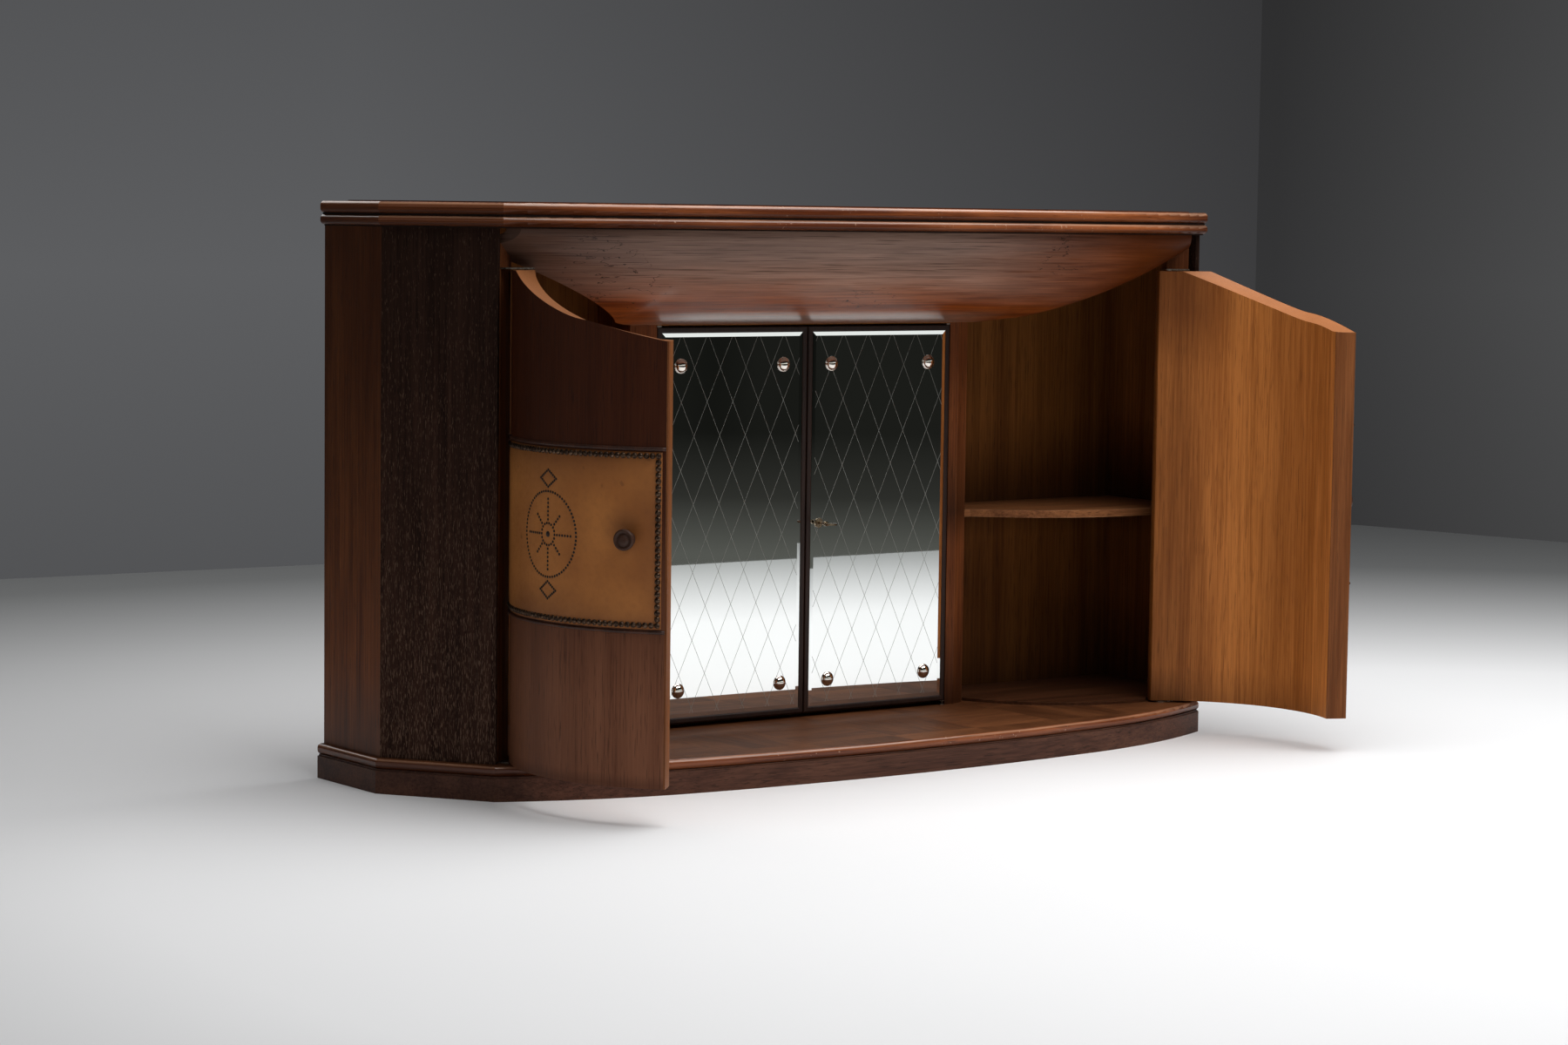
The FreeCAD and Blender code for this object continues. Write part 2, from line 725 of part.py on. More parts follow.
def shelf():
    """Shelf whose front edge bends round behind the closed door."""
    z = shelf_top - shelf_thickness
    near_angle = door_arc_angle + shelf_near_angle
    near = vec(*place_on_door(near_angle, door_inner_radius - shelf_end_setback), z)
    middle = vec(*place_on_door(door_arc_angle / 2, door_inner_radius - shelf_setback), z)
    far = vec(*place_on_door(shelf_far_angle, door_inner_radius - shelf_setback), z)
    corners = [far, vec(carcass_half_width, far.y, z), vec(carcass_half_width, back_y, z),
               vec(stop_x, back_y, z), vec(stop_x, near.y, z), near]
    edges = [line(corners[i], corners[i + 1]) for i in range(len(corners) - 1)]
    front = Part.Face(Part.Wire([arc(near, middle, far)] + edges)).extrude(vec(0, 0, shelf_thickness))
    return bay_floor(z, shelf_top, front)


def shelf_pins():
    """Flat pins under the ends of the side shelves and the middle shelf."""
    z = shelf_top - shelf_thickness
    front = mirror_plane_y + stop_depth + pin_front_margin
    pins = []
    for y in (front, back_inner_y - pin_rear_margin):
        for x, way in ((stop_x, 1), (side_inner_x, -1), (partition_inner_x, -1)):
            ends = sorted((x, x + way * pin_length))
            pins.append(block(*ends, y - pin_width / 2, y + pin_width / 2, z - pin_thickness, z))
    return pins


leaf_inner = leaf_gap
leaf_outer = partition_inner_x - leaf_side_gap
leaf_front_y = mirror_plane_y + mirror_thickness
leaf_back_y = leaf_front_y + leaf_thickness
frame_front_y = mirror_plane_y - frame_proud
hinge_x = leaf_outer - hinge_inset_x
hinge_y = frame_front_y + hinge_inset_y


def hinge_drill():
    """Holes for the pivot pins in the ends of a mirror door."""
    radius = hinge_pin_radius + hinge_drill_clearance
    low = post(radius, hinge_x, hinge_y, leaf_bottom - overrun, leaf_bottom + hinge_pin_reach)
    high = post(radius, hinge_x, hinge_y, leaf_top - hinge_pin_reach, leaf_top + overrun)
    return low.fuse(high)


def leaf():
    return block(leaf_inner, leaf_outer, leaf_front_y, leaf_back_y, leaf_bottom, leaf_top)


def leaf_frame():
    """Slender rounded moulding round the mirror, proud of the glass."""
    outer = block(leaf_inner, leaf_outer, frame_front_y, leaf_front_y, leaf_bottom, leaf_top)
    inner = block(leaf_inner + frame_width, leaf_outer - frame_width, frame_front_y - overrun,
                  leaf_front_y + overrun, leaf_bottom + frame_width, leaf_top - frame_width)
    shape = outer.cut(inner)
    front_edges = [edge for edge in shape.Edges if edge.BoundBox.YMax < frame_front_y + fit_gap]
    return shape.makeFillet(frame_rounding, front_edges).cut(hinge_drill())


def rectangle(inset, y):
    """Upright outline of the mirror, drawn in by a distance."""
    margin = frame_width + fit_gap + inset
    x0, x1 = leaf_inner + margin, leaf_outer - margin
    z0, z1 = leaf_bottom + margin, leaf_top - margin
    corners = [vec(x0, y, z0), vec(x1, y, z0), vec(x1, y, z1), vec(x0, y, z1)]
    return Part.makePolygon(corners + corners[:1])


def mirror():
    """Plate with a wide shallow bevel ground round its front."""
    edge_y = leaf_front_y - mirror_edge_thickness
    plate = Part.Face(rectangle(0, edge_y)).extrude(vec(0, mirror_edge_thickness))
    bevel = Part.makeLoft([rectangle(0, edge_y), rectangle(mirror_bevel, mirror_plane_y)], True, True)
    return plate.fuse(bevel).removeSplitter()


def rosettes():
    """Turned bosses over the mirror's screws."""
    bosses = []
    for x in (leaf_inner + rosette_inner_inset, leaf_outer - rosette_outer_inset):
        for z in (leaf_bottom + rosette_bottom_inset, leaf_top - rosette_top_inset):
            shape = turned(rosette_radius, rosette_height, rosette_radius_shares, rosette_height_shares)
            shape.rotate(vec(0, 0), up, 180)
            shape.translate(vec(x, mirror_plane_y, z))
            bosses.append(shape)
    return bosses


def hinge_plate(z0, z1):
    return block(leaf_outer - hinge_plate_width, leaf_outer, mirror_plane_y,
                 mirror_plane_y + hinge_plate_depth, z0, z1)


def mirror_hinges():
    """Pivots at the foot and head of a mirror door: fixed plates with pins, moving plates with holes."""
    header_z = apron_flat_z - running_gap
    low_pin = post(hinge_pin_radius, hinge_x, hinge_y, deck_top, leaf_bottom + hinge_pin_reach - fit_gap)
    low_plate = hinge_plate(deck_top, deck_top + hinge_fixed_thickness)
    high_pin = post(hinge_pin_radius, hinge_x, hinge_y, leaf_top - hinge_pin_reach + fit_gap, header_z)
    high_plate = hinge_plate(header_z - hinge_fixed_thickness, header_z)
    fixed = [low_plate.fuse(low_pin).removeSplitter(), high_plate.fuse(high_pin).removeSplitter()]
    hole = post(hinge_pin_radius + hinge_clearance, hinge_x, hinge_y, 0, overall_height)
    moving = [hinge_plate(leaf_bottom - hinge_moving_thickness, leaf_bottom).cut(hole),
              hinge_plate(leaf_top, leaf_top + hinge_moving_thickness).cut(hole)]
    return fixed, moving


lock_front = leaf_back_y
lock_back = leaf_back_y + lock_depth
bolt_back = lock_back - lock_depth * bolt_cover_share
bolt_end_x = lock_x - bolt_end_margin


def lock_parts():
    """Rim lock on the back of the right mirror door, worked by a key through the mirror."""
    hole = Part.makeCylinder(key_radius + key_hole_gap, long_overrun,
                             vec(lock_x, mirror_plane_y - overrun, lock_z), vec(0, 1))
    case = block(lock_x - lock_width / 2, lock_x + lock_width / 2, lock_front, lock_back,
                 lock_z - lock_height / 2, lock_z + lock_height / 2)
    half = bolt_height / 2
    slot = block(0, lock_x, bolt_back - bolt_thickness - bolt_gap, bolt_back + bolt_gap,
                 lock_z - half - bolt_gap, lock_z + half + bolt_gap)
    slot = slot.common(block(0, bolt_end_x, lock_front, lock_back, 0, overall_height))
    case = case.cut(slot).cut(hole)
    bolt = block(bolt_nose_x, bolt_end_x - bolt_gap, bolt_back - bolt_thickness, bolt_back,
                 lock_z - half, lock_z + half)
    reach = bolt_nose_x - bolt_travel - bolt_end_gap
    keep = block(reach - keep_wall, -leaf_gap, lock_front, bolt_back + keep_wall + bolt_gap,
                 lock_z - half - keep_wall - bolt_gap, lock_z + half + keep_wall + bolt_gap)
    keep = keep.cut(block(reach, lock_x, bolt_back - bolt_thickness - bolt_gap, bolt_back + bolt_gap,
                          lock_z - half - bolt_gap, lock_z + half + bolt_gap))
    plate = Part.makeCylinder(escutcheon_radius, escutcheon_thickness,
                              vec(lock_x, mirror_plane_y - escutcheon_thickness, lock_z), vec(0, 1))
    return hole, case, bolt, keep, plate.cut(hole)


def key():
    """Key with a shank, a collar and an oval pierced bow lying level."""
    front = mirror_plane_y - key_projection
    rear = lock_back - key_end_gap
    wall = key_bow_wall
    shank_y = front + key_bow_depth - wall / 2
    shank = Part.makeCylinder(key_radius, rear - shank_y, vec(lock_x, shank_y, lock_z), vec(0, 1))
    collar = Part.makeCylinder(key_collar_radius, key_collar_length,
                               vec(lock_x, front + key_bow_depth + key_neck_length, lock_z), vec(0, 1))
    oval = Part.Ellipse(vec(0, 0), key_bow_length / 2, key_bow_depth / 2)
    inner = Part.Ellipse(vec(0, 0), key_bow_length / 2 - wall, key_bow_depth / 2 - wall)
    ring = Part.Face(Part.Wire(oval.toShape())).cut(Part.Face(Part.Wire(inner.toShape())))
    ring = ring.extrude(vec(0, 0, key_bow_thickness))
    ring.translate(vec(lock_x, front + key_bow_depth / 2, lock_z - key_bow_thickness / 2))
    return shank.fuse(collar).fuse(ring).removeSplitter()


def mirror_doors():
    hole, case, bolt, keep, plate = lock_parts()
    fixed, moving = mirror_hinges()
    save("mirror_door_panel_right", leaf().cut(hole))
    save("mirror_door_panel_left", mirrored(leaf()))
    save("mirror_glass_right", mirror().cut(hole))
    save("mirror_glass_left", mirrored(mirror()))
    save_pair("mirror_frame", leaf_frame())
    save_pair("mirror_rosettes", *rosettes())
    save_pair("mirror_hinge_moving", *moving)
    save("mirror_hinges_fixed", *fixed, *[mirrored(shape) for shape in fixed])
    save("lock_case", case)
    save("lock_bolt", bolt)
    save("lock_keep", keep)
    save("escutcheon", plate)
    save("key", key())


def main():
    os.makedirs("parts", exist_ok=True)
    plinth()
    deck()
    top()
    carcass()
    save("apron", apron_shell())
    save_pair("corner_post", corner_post())
    save_pair("compartment_floor", compartment_floor())
    save_pair("side_shelf", shelf())
    centre_front = leaf_back_y + lock_depth
    save("centre_floor", block(-partition_inner_x, partition_inner_x, centre_front + centre_floor_setback,
                               back_inner_y, deck_top, floor_top))
    save("centre_shelf", block(-partition_inner_x + fit_gap, partition_inner_x - fit_gap,
                               centre_front + centre_shelf_setback, back_inner_y - fit_gap,
                               shelf_top - shelf_thickness, shelf_top))
    pins = shelf_pins()
    save("shelf_pins", *pins, *[mirrored(pin) for pin in pins])
    plates = pivot_plates()
    save("pivot_plates", *plates, *[mirrored(plate) for plate in plates])
    side_doors()
    mirror_doors()


main()
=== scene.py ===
# Bar console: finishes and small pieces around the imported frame. Metres, +Z up, front to -Y.
import bmesh
import bpy
import json
import math
from mathutils import Matrix, Vector


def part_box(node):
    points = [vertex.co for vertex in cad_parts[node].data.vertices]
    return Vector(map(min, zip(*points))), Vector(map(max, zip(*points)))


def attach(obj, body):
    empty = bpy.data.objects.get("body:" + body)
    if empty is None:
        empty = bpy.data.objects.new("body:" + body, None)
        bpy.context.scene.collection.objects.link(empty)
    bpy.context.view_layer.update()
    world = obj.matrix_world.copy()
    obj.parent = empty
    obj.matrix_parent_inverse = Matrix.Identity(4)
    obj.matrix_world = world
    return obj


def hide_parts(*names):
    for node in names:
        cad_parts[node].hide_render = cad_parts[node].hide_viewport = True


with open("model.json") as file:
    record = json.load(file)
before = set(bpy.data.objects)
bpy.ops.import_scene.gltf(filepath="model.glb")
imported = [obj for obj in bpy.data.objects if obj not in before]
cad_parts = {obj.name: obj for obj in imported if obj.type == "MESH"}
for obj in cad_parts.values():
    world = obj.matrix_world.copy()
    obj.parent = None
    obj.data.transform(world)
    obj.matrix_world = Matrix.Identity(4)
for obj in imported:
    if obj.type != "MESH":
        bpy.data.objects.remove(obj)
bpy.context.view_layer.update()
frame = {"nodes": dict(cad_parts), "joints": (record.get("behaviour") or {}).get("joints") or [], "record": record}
nodes = frame["nodes"]
joints = {joint["name"]: joint for joint in frame["joints"]}
sides = ("left", "right")
to_front = Vector((0, -1, 0))

# Camera, worked out from the photograph's level and upright edges
camera_place = Vector((-3.9085, -5.1790, 0.9801))
camera_yaw = math.radians(36.262)
camera_pitch = math.radians(4.873)
camera_roll = math.radians(0.7246)
camera_lens = 81.99
camera_sensor = 36.0

# Curved side doors, closed, as the construction has them
door_radius = 0.319
door_thickness = 0.038
pivot_to_face = 0.024
door_start = math.radians(100.5)
door_arc = math.radians(81.0)
lipping_thickness = 0.003

# Leather on the side doors, by angle from the pivot end and by height
leather_thickness = 0.0015
leather_low = 0.322
leather_high = 0.606
leather_middle = (leather_low + leather_high) / 2
leather_half = (leather_high - leather_low) / 2
leather_first = math.radians(2.0)
leather_free_margin = 0.009
leather_last = door_arc - leather_free_margin / door_radius
leather_face = door_radius + leather_thickness
leather_cells = (120, 80)

# Relief of the hide, by the distance from its edges
hide_sink = 0.0005
hide_fullness = 0.0009
hide_full_from = 0.006
hide_full_within = 0.02
hide_pull = 0.00016
hide_pull_at = 0.014
hide_pull_width = 0.006

# Dome nails
nail_radius = 0.0049
nail_rise = 0.0034
nail_pitch = 0.0099
nail_edge = 0.0062
nail_sink = 0.0004

# Tooled ornament: half sizes across and up, and the number of dots on each line
ornament_angle = math.radians(40.0)
ornament_lift = 0.0003
oval_half = (0.066, 0.07)
oval_dots = 68
hub_half = (0.017, 0.018)
hub_dots = 18
ray_start = (0.023, 0.024)
ray_reaches = (0.82, 0.62)
ray_gaps = (5, 3)
lozenge_half = (0.02, 0.014)
lozenge_shift = 0.091
lozenge_side_dots = 5
dot_size = (0.0024, 0.0012)
boss_size = (0.005, 0.0018)

# Knobs, rosettes and slender mouldings; the turned shapes are shares of radius and height
knob_angle = math.radians(69.5)
knob_height = 0.466
knob_radius = 0.0175
knob_projection = 0.026
knob_shape = [(0.0, 0.0), (0.69, 0.0), (0.7, 0.1), (0.66, 0.15), (0.45, 0.18), (0.39, 0.28), (0.4, 0.42),
              (0.6, 0.54), (0.93, 0.64), (1.0, 0.72), (1.0, 0.82), (0.95, 0.9), (0.84, 0.95), (0.76, 0.93),
              (0.68, 0.87), (0.6, 0.86), (0.5, 0.89), (0.42, 0.96), (0.3, 0.99), (0.15, 1.0), (0.0, 1.0)]
rosette_radius = 0.0135
rosette_rise = 0.0085
rosette_dome = [math.pi / 16 * k for k in range(1, 8)]
rosette_shape = [(0.0, 0.0), (1.0, 0.0), (1.0, 0.12), (0.96, 0.2), (0.9, 0.2),
                 *[(0.88 * math.cos(turn), 0.2 + 0.8 * math.sin(turn)) for turn in rosette_dome], (0.0, 1.0)]
bead_radius = 0.003
bead_gap = 0.005
bead_cells = (72, 8)

# Mirrors
glass_bevel = 0.007
glass_edge_back = 0.0005
lattice_periods = 5.5
lattice_height = 0.123
lattice_drop = 0.001
lattice_line = 0.0009
lattice_rise = 0.00006
lattice_lift = 0.00001
key_hole = 0.00258
key_hole_quarter = 6

# Stage, measured from the photograph's floor edges and from the floor's end in the mirrors
floor_corners = ((-7.0, 4.03), (4.295, 3.4), (4.519, 3.12), (4.634, 2.398), (5.48, -2.92), (-7.0, -2.92))
room_corner = 0.1309
# painted pool of light on the floor: its centre and the reach over which it fades
light_pool_centre = (0.4, -1.3, 0.0)
light_pool_reach = (2.2, 4.6)

# Lamps: place, aim, size and power
lamps = {
    "overhead": ((0.8, -1.5, 3.3), (0.8, -1.5, 0.0), (4.2, 4.4), 218.0),
    "rear": ((-0.5, 3.6, 2.8), (0.0, 0.4, 0.5), (2.4, 1.6), 18.0),
}

# Rise of a view at which the room changes: the seen floor, and what the mirrors show of floor and window
floor_line = (-0.1075, -0.1085)
dim_floor = (-0.06, -0.078)
grey_floor = (-0.078, -0.094)
window_foot = (0.058, 0.062)
window_head = (0.19, 0.18)

# Faces of the carcass that are stained dark outside and golden inside; how deep stains and rubbed edges go
side_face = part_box("side_panel_right")[1].x
back_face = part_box("back_panel")[1].y
panel_skin = 0.002
outer_skin = 0.0009
inner_skin = 0.004
wear_radius = 0.0022

# Heights between which a finish changes; most of them bound painted light or shade
door_floor_light = (0.52, 0.2)
door_foot = (0.086, 0.07)
door_inner_foot = (0.13, 0.07)
door_apron_shade = (0.7, 0.81)
panel_floor_glow = (0.22, 0.08)
apron_lower = (0.885, 0.825)
apron_top_shade = (0.93, 0.875)
apron_rim = (0.7905, 0.7885)
apron_reflection_band = (0.815, 0.8)

# Woods: dark figure, light figure and open pores
golden = ((0.12, 0.038, 0.0085), (0.27, 0.098, 0.022), (0.065, 0.022, 0.006))
brown = ((0.056, 0.014, 0.0036), (0.18, 0.056, 0.0155), (0.018, 0.006, 0.0025))
door_outside = ((0.036, 0.0078, 0.0021), (0.074, 0.0185, 0.0055), (0.014, 0.0045, 0.0025))
# door_floor_lit: the door's outside with painted light from the floor
door_floor_lit = ((0.14, 0.05, 0.0235), (0.24, 0.096, 0.049), (0.05, 0.017, 0.008))
door_inside = ((0.24, 0.074, 0.0145), (0.5, 0.18, 0.043), (0.13, 0.04, 0.01))
corner_dark = ((0.013, 0.0058, 0.0038), (0.034, 0.0155, 0.0098), (0.005, 0.0027, 0.002))
rim_red = ((0.12, 0.027, 0.0075), (0.37, 0.108, 0.033), (0.05, 0.014, 0.006))
top_level = ((0.05, 0.013, 0.006), (0.15, 0.045, 0.018), (0.04, 0.014, 0.006))
deck_level = ((0.06, 0.02, 0.0075), (0.205, 0.076, 0.0285), (0.04, 0.014, 0.006))
# apron_grey_sheen: grey tones that carry a painted sheen
apron_grey_sheen = ((0.22, 0.128, 0.095), (0.37, 0.225, 0.168), (0.07, 0.034, 0.022))

# Plain veneers: the grain's axis, the tones, the colour of rubbed edges and what else differs
veneers = {
    "side_wood": dict(axis="z", tones=brown, wear=(0.2, 0.085, 0.045)),
    "top_wood": dict(axis="x", tones=((0.05, 0.013, 0.006), (0.15, 0.045, 0.018), (0.02, 0.008, 0.005)),
                     roughness=(0.25, 0.4), coat=0.4, coat_roughness=0.14),
    "plinth_wood": dict(axis="x", tones=((0.05, 0.0205, 0.0135), (0.13, 0.056, 0.034), (0.012, 0.006, 0.004)),
                        wear=(0.16, 0.075, 0.045), specular=0.12),
    "inner_wood": dict(axis="z", tones=golden, figure=(26.0, 0.8)),
    "bead_wood": dict(axis="z", tones=((0.022, 0.0072, 0.004), (0.075, 0.0235, 0.01), (0.012, 0.006, 0.004)),
                      wear=(0.2, 0.09, 0.05), specular=0.35),
    "lipping_wood": dict(axis="z", tones=((0.12, 0.038, 0.0115), (0.27, 0.095, 0.031), (0.1, 0.04, 0.015)),
                         wear=(0.42, 0.2, 0.1)),
    "post_wood": dict(axis="z", tones=((0.075, 0.02, 0.0065), (0.21, 0.064, 0.02), (0.035, 0.012, 0.005)),
                      wear=(0.26, 0.1, 0.04)),
    "leaf_wood": dict(axis="z", tones=((0.06, 0.02, 0.009), (0.17, 0.06, 0.024), (0.03, 0.012, 0.006))),
    "frame_wood": dict(axis="z", wear=(0.14, 0.055, 0.03), figure=(60.0, 3.0), specular=0.3,
                       tones=((0.011, 0.0042, 0.0028), (0.028, 0.0105, 0.006), (0.005, 0.003, 0.002))),
    "shadow_wood": dict(axis="x",
                        tones=((0.01, 0.005, 0.0035), (0.025, 0.011, 0.007), (0.005, 0.003, 0.002))),
    "board_wood": dict(axis="x", tones=golden, wear=(0.45, 0.21, 0.09)),
    "floor_wood": dict(axis="x", tones=((0.03, 0.0105, 0.0045), (0.09, 0.033, 0.0145), (0.015, 0.006, 0.003)),
                       wear=(0.2, 0.085, 0.04)),
    "shelf_wood": dict(axis="x", tones=((0.125, 0.045, 0.017), (0.3, 0.12, 0.045), (0.05, 0.018, 0.006)),
                       wear=(0.55, 0.3, 0.17)),
    # stile_wood carries painted shade round the compartments' floors and shelves
    "stile_wood": dict(axis="z", tones=((0.09, 0.0245, 0.0082), (0.25, 0.078, 0.0245), (0.03, 0.01, 0.004)),
                       wear=(0.26, 0.1, 0.04), bay_shaded=True),
}


class Tree:
    """A node tree, built by short calls that return output sockets."""

    def __init__(self, tree, place):
        self.tree = tree
        self.place = self.node("ShaderNodeTexCoord")[place]

    def node(self, kind, inputs=(), **settings):
        """Adds a node, fills inputs by their names or numbers and returns its outputs."""
        made = self.tree.nodes.new(kind)
        for key, value in settings.items():
            setattr(made, key, value)
        for key, value in dict(inputs).items():
            self.plug(made.inputs[key], value)
        return made.outputs

    def plug(self, socket, value):
        if isinstance(value, bpy.types.NodeSocket):
            self.tree.links.new(value, socket)
        elif isinstance(value, tuple) and len(value) == 3 and socket.type == "RGBA":
            socket.default_value = (*value, 1.0)
        else:
            socket.default_value = value

    def math(self, operation, *values):
        return self.node("ShaderNodeMath", enumerate(values), operation=operation)[0]

    def plus(self, a, b):
        return self.math("ADD", a, b)

    def minus(self, a, b):
        return self.math("SUBTRACT", a, b)

    def times(self, a, b):
        return self.math("MULTIPLY", a, b)

    def absolute(self, value):
        return self.math("ABSOLUTE", value)

    def maximum(self, a, b):
        return self.math("MAXIMUM", a, b)

    def sloped(self, value, gain, start):
        """start where value is 0, and gain more where it is 1."""
        return self.plus(self.times(value, gain), start)

    def dot(self, a, b):
        return self.node("ShaderNodeVectorMath", {0: a, 1: b}, operation="DOT_PRODUCT")["Value"]

    def distance(self, place, point):
        return self.node("ShaderNodeVectorMath", {0: place, 1: tuple(point)}, operation="DISTANCE")["Value"]

    def ramp(self, value, low, high):
        """0 below low, 1 above high, a straight rise between; low above high turns it round."""
        inputs = {"Value": value, "From Min": low, "From Max": high}
        return self.node("ShaderNodeMapRange", inputs, clamp=True)["Result"]

    def mix(self, share, a, b):
        return self.node("ShaderNodeMix", {0: share, 6: a, 7: b}, data_type="RGBA")[2]

    def tint(self, tone, mask, share, colour):
        """The tone with a share of a colour over it where the mask is 1."""
        return self.mix(self.times(mask, share), tone, colour)

    def scaled(self, colour, factor):
        return self.node("ShaderNodeVectorMath", {0: colour, "Scale": factor}, operation="SCALE")["Vector"]

    def separate(self, vector):
        return self.node("ShaderNodeSeparateXYZ", {0: vector})

    def stretched(self, scale, shift=(0.0, 0.0, 0.0)):
        inputs = {"Vector": self.place, "Scale": scale, "Location": shift}
        return self.node("ShaderNodeMapping", inputs)["Vector"]

    def noise(self, scale, detail=3.0, roughness=0.55, distortion=0.0, shift=(0.0, 0.0, 0.0)):
        """Noise with one scale for all directions or three of them."""
        scales = scale if isinstance(scale, tuple) else (scale,) * 3
        inputs = {"Vector": self.stretched(scales, shift), "Scale": 1.0, "Detail": detail,
                  "Roughness": roughness, "Distortion": distortion}
        return self.node("ShaderNodeTexNoise", inputs)["Fac"]


class Shader(Tree):
    """A material on its own node tree."""

    def __init__(self, name):
        self.material = bpy.data.materials.new(name)
        self.material.use_nodes = True
        super().__init__(self.material.node_tree, "Object")
        self.surface = self.tree.nodes["Principled BSDF"].inputs

    def facing(self):
        return self.node("ShaderNodeNewGeometry")["Normal"]

    def run_round(self):
        """Lets the grain follow a rim: slow along the plan, fast up its height or across its top."""
        parts = self.separate(self.place)
        level = self.math("GREATER_THAN", self.absolute(self.separate(self.facing())["Z"]), 0.75)
        across = self.node("ShaderNodeMix", {0: level, 2: parts["Z"], 3: parts["Y"]})[0]
        along = self.plus(parts["X"], self.times(parts["Y"], 0.8))
        along = self.minus(along, self.times(self.times(level, parts["Y"]), 0.8))
        self.place = self.node("ShaderNodeCombineXYZ", {0: along, 2: across})[0]

    def wood(self, axis, tones, figure=(20.0, 1.1), fibre=(210.0, 3.6), contrast=1.0, pores=(520.0, 21.0),
             pore_share=0.6, cloud_share=0.3, cloud=2.3):
        """Tone, height and figure of a veneer: broad figure, streaky fibres and short open pores, each with
        its scale across the grain and along it."""
        dark, light, pore = tones
        broad = self.noise(grain_scale(axis, *figure), detail=4.0, distortion=0.6)
        streaks = self.noise(grain_scale(axis, *fibre), detail=4.0, roughness=0.65)
        holes = self.ramp(self.noise(grain_scale(axis, *pores), detail=2.0, roughness=0.5), 0.58, 0.68)
        clouds = self.noise(cloud, detail=2.0, shift=(3.1, 1.7, 0.4))
        blend = self.plus(self.times(broad, 0.5), self.times(streaks, 0.5))
        half = 0.12 / contrast
        tone = self.mix(self.ramp(blend, 0.5 - half, 0.5 + half), dark, light)
        tone = self.tint(tone, self.ramp(clouds, 0.35, 0.68), cloud_share, dark)
        tone = self.tint(tone, holes, pore_share, pore)
        return tone, self.minus(self.times(streaks, 0.5), holes), blend

    def edge(self, radius, low=0.02, high=0.25):
        """1 on sharp edges, 0 on flat stretches."""
        rounded = self.node("ShaderNodeBevel", {"Radius": radius}, samples=4)[0]
        return self.ramp(self.dot(rounded, self.facing()), 1.0 - low, 1.0 - high)

    def worn_edges(self, tone, blend, share, colour):
        """Sharp edges rubbed pale, most where the figure is light."""
        worn = self.times(self.edge(wear_radius), self.ramp(blend, 0.38, 0.6))
        return self.tint(tone, worn, share, colour)

    def lit_from_floor(self, tone, gain, high=0.8, low=0.1):
        """Painted light: wood paler toward the floor, as if lit by light bounced from it."""
        rise = self.ramp(self.separate(self.place)["Z"], high, low)
        return self.scaled(tone, self.sloped(rise, gain, 1.0))

    def shaded_bays(self, tone):
        """Painted shade: wood darker round each floor and shelf, most just above it."""
        rise = self.separate(self.place)["Z"]
        for board in ("compartment_floor_right", "side_shelf_right"):
            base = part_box(board)[1].z
            near = self.times(self.ramp(rise, base + 0.17, base), self.ramp(rise, base - 0.07, base))
            tone = self.tint(tone, near, 0.75, (0.012, 0.0045, 0.0022))
        return tone

    def bump(self, height, strength=0.25, distance=0.0006):
        inputs = {"Strength": strength, "Distance": distance, "Height": height}
        self.plug(self.surface["Normal"], self.node("ShaderNodeBump", inputs)["Normal"])

    def finish(self, colour, roughness, metallic=0.0, coat=0.0, coat_roughness=0.1, specular=0.1):
        inputs = {"Base Color": colour, "Roughness": roughness, "Metallic": metallic, "Coat Weight": coat,
                  "Coat Roughness": coat_roughness, "Specular IOR Level": specular}
        for name, value in inputs.items():
            self.plug(self.surface[name], value)
        return self.material


def grain_scale(axis, across, along):
    """Noise scale, slow along the grain and fast across it; axis "xy" is a grain level all round."""
    return tuple(along if letter in axis else across for letter in "xyz")


def veneer(name, axis, tones, wear=None, roughness=(0.36, 0.5), coat=0.0, coat_roughness=0.28, specular=0.1,
           bay_shaded=False, **figure):
    """A polished veneer with worn edges; with painted shade where it lines the compartments."""
    shader = Shader(name)
    tone, height, blend = shader.wood(axis, tones, **figure)
    # painted shade round the floors and shelves of the compartments
    if bay_shaded:
        tone = shader.shaded_bays(tone)
    if wear:
        tone = shader.worn_edges(tone, blend, 0.8, wear)
    low, high = roughness
    rough = shader.sloped(blend, high - low, low)
    shader.bump(height)
    return shader.finish(tone, rough, coat=coat, coat_roughness=coat_roughness, specular=specular)


pivot = Vector(joints["right_door"]["pos_m"][:2])
circle_centre = pivot + (door_radius - pivot_to_face) * Vector((math.cos(door_start), math.sin(door_start)))


def turned(point, side):
    """A plan point of the closed right door, moved to where the named door rests, open as photographed."""
    spin = Matrix.Rotation(math.radians(-joints[side + "_door"]["range_deg"][0]), 2)
    moved = pivot + spin @ (Vector(point) - pivot)
    return Vector((-moved.x if side == "left" else moved.x, moved.y))


def on_door(side, angle, radius, z):
    """A point on the door by its angle from the pivot end, its radius and its height."""
    turn = door_start - math.pi - angle
    place = turned(circle_centre + radius * Vector((math.cos(turn), math.sin(turn))), side)
    return Vector((place.x, place.y, z))


def outward(side, angle):
    near = on_door(side, angle, door_radius, 0.0)
    far = on_door(side, angle, door_radius + 1.0, 0.0)
    return (far - near).normalized()


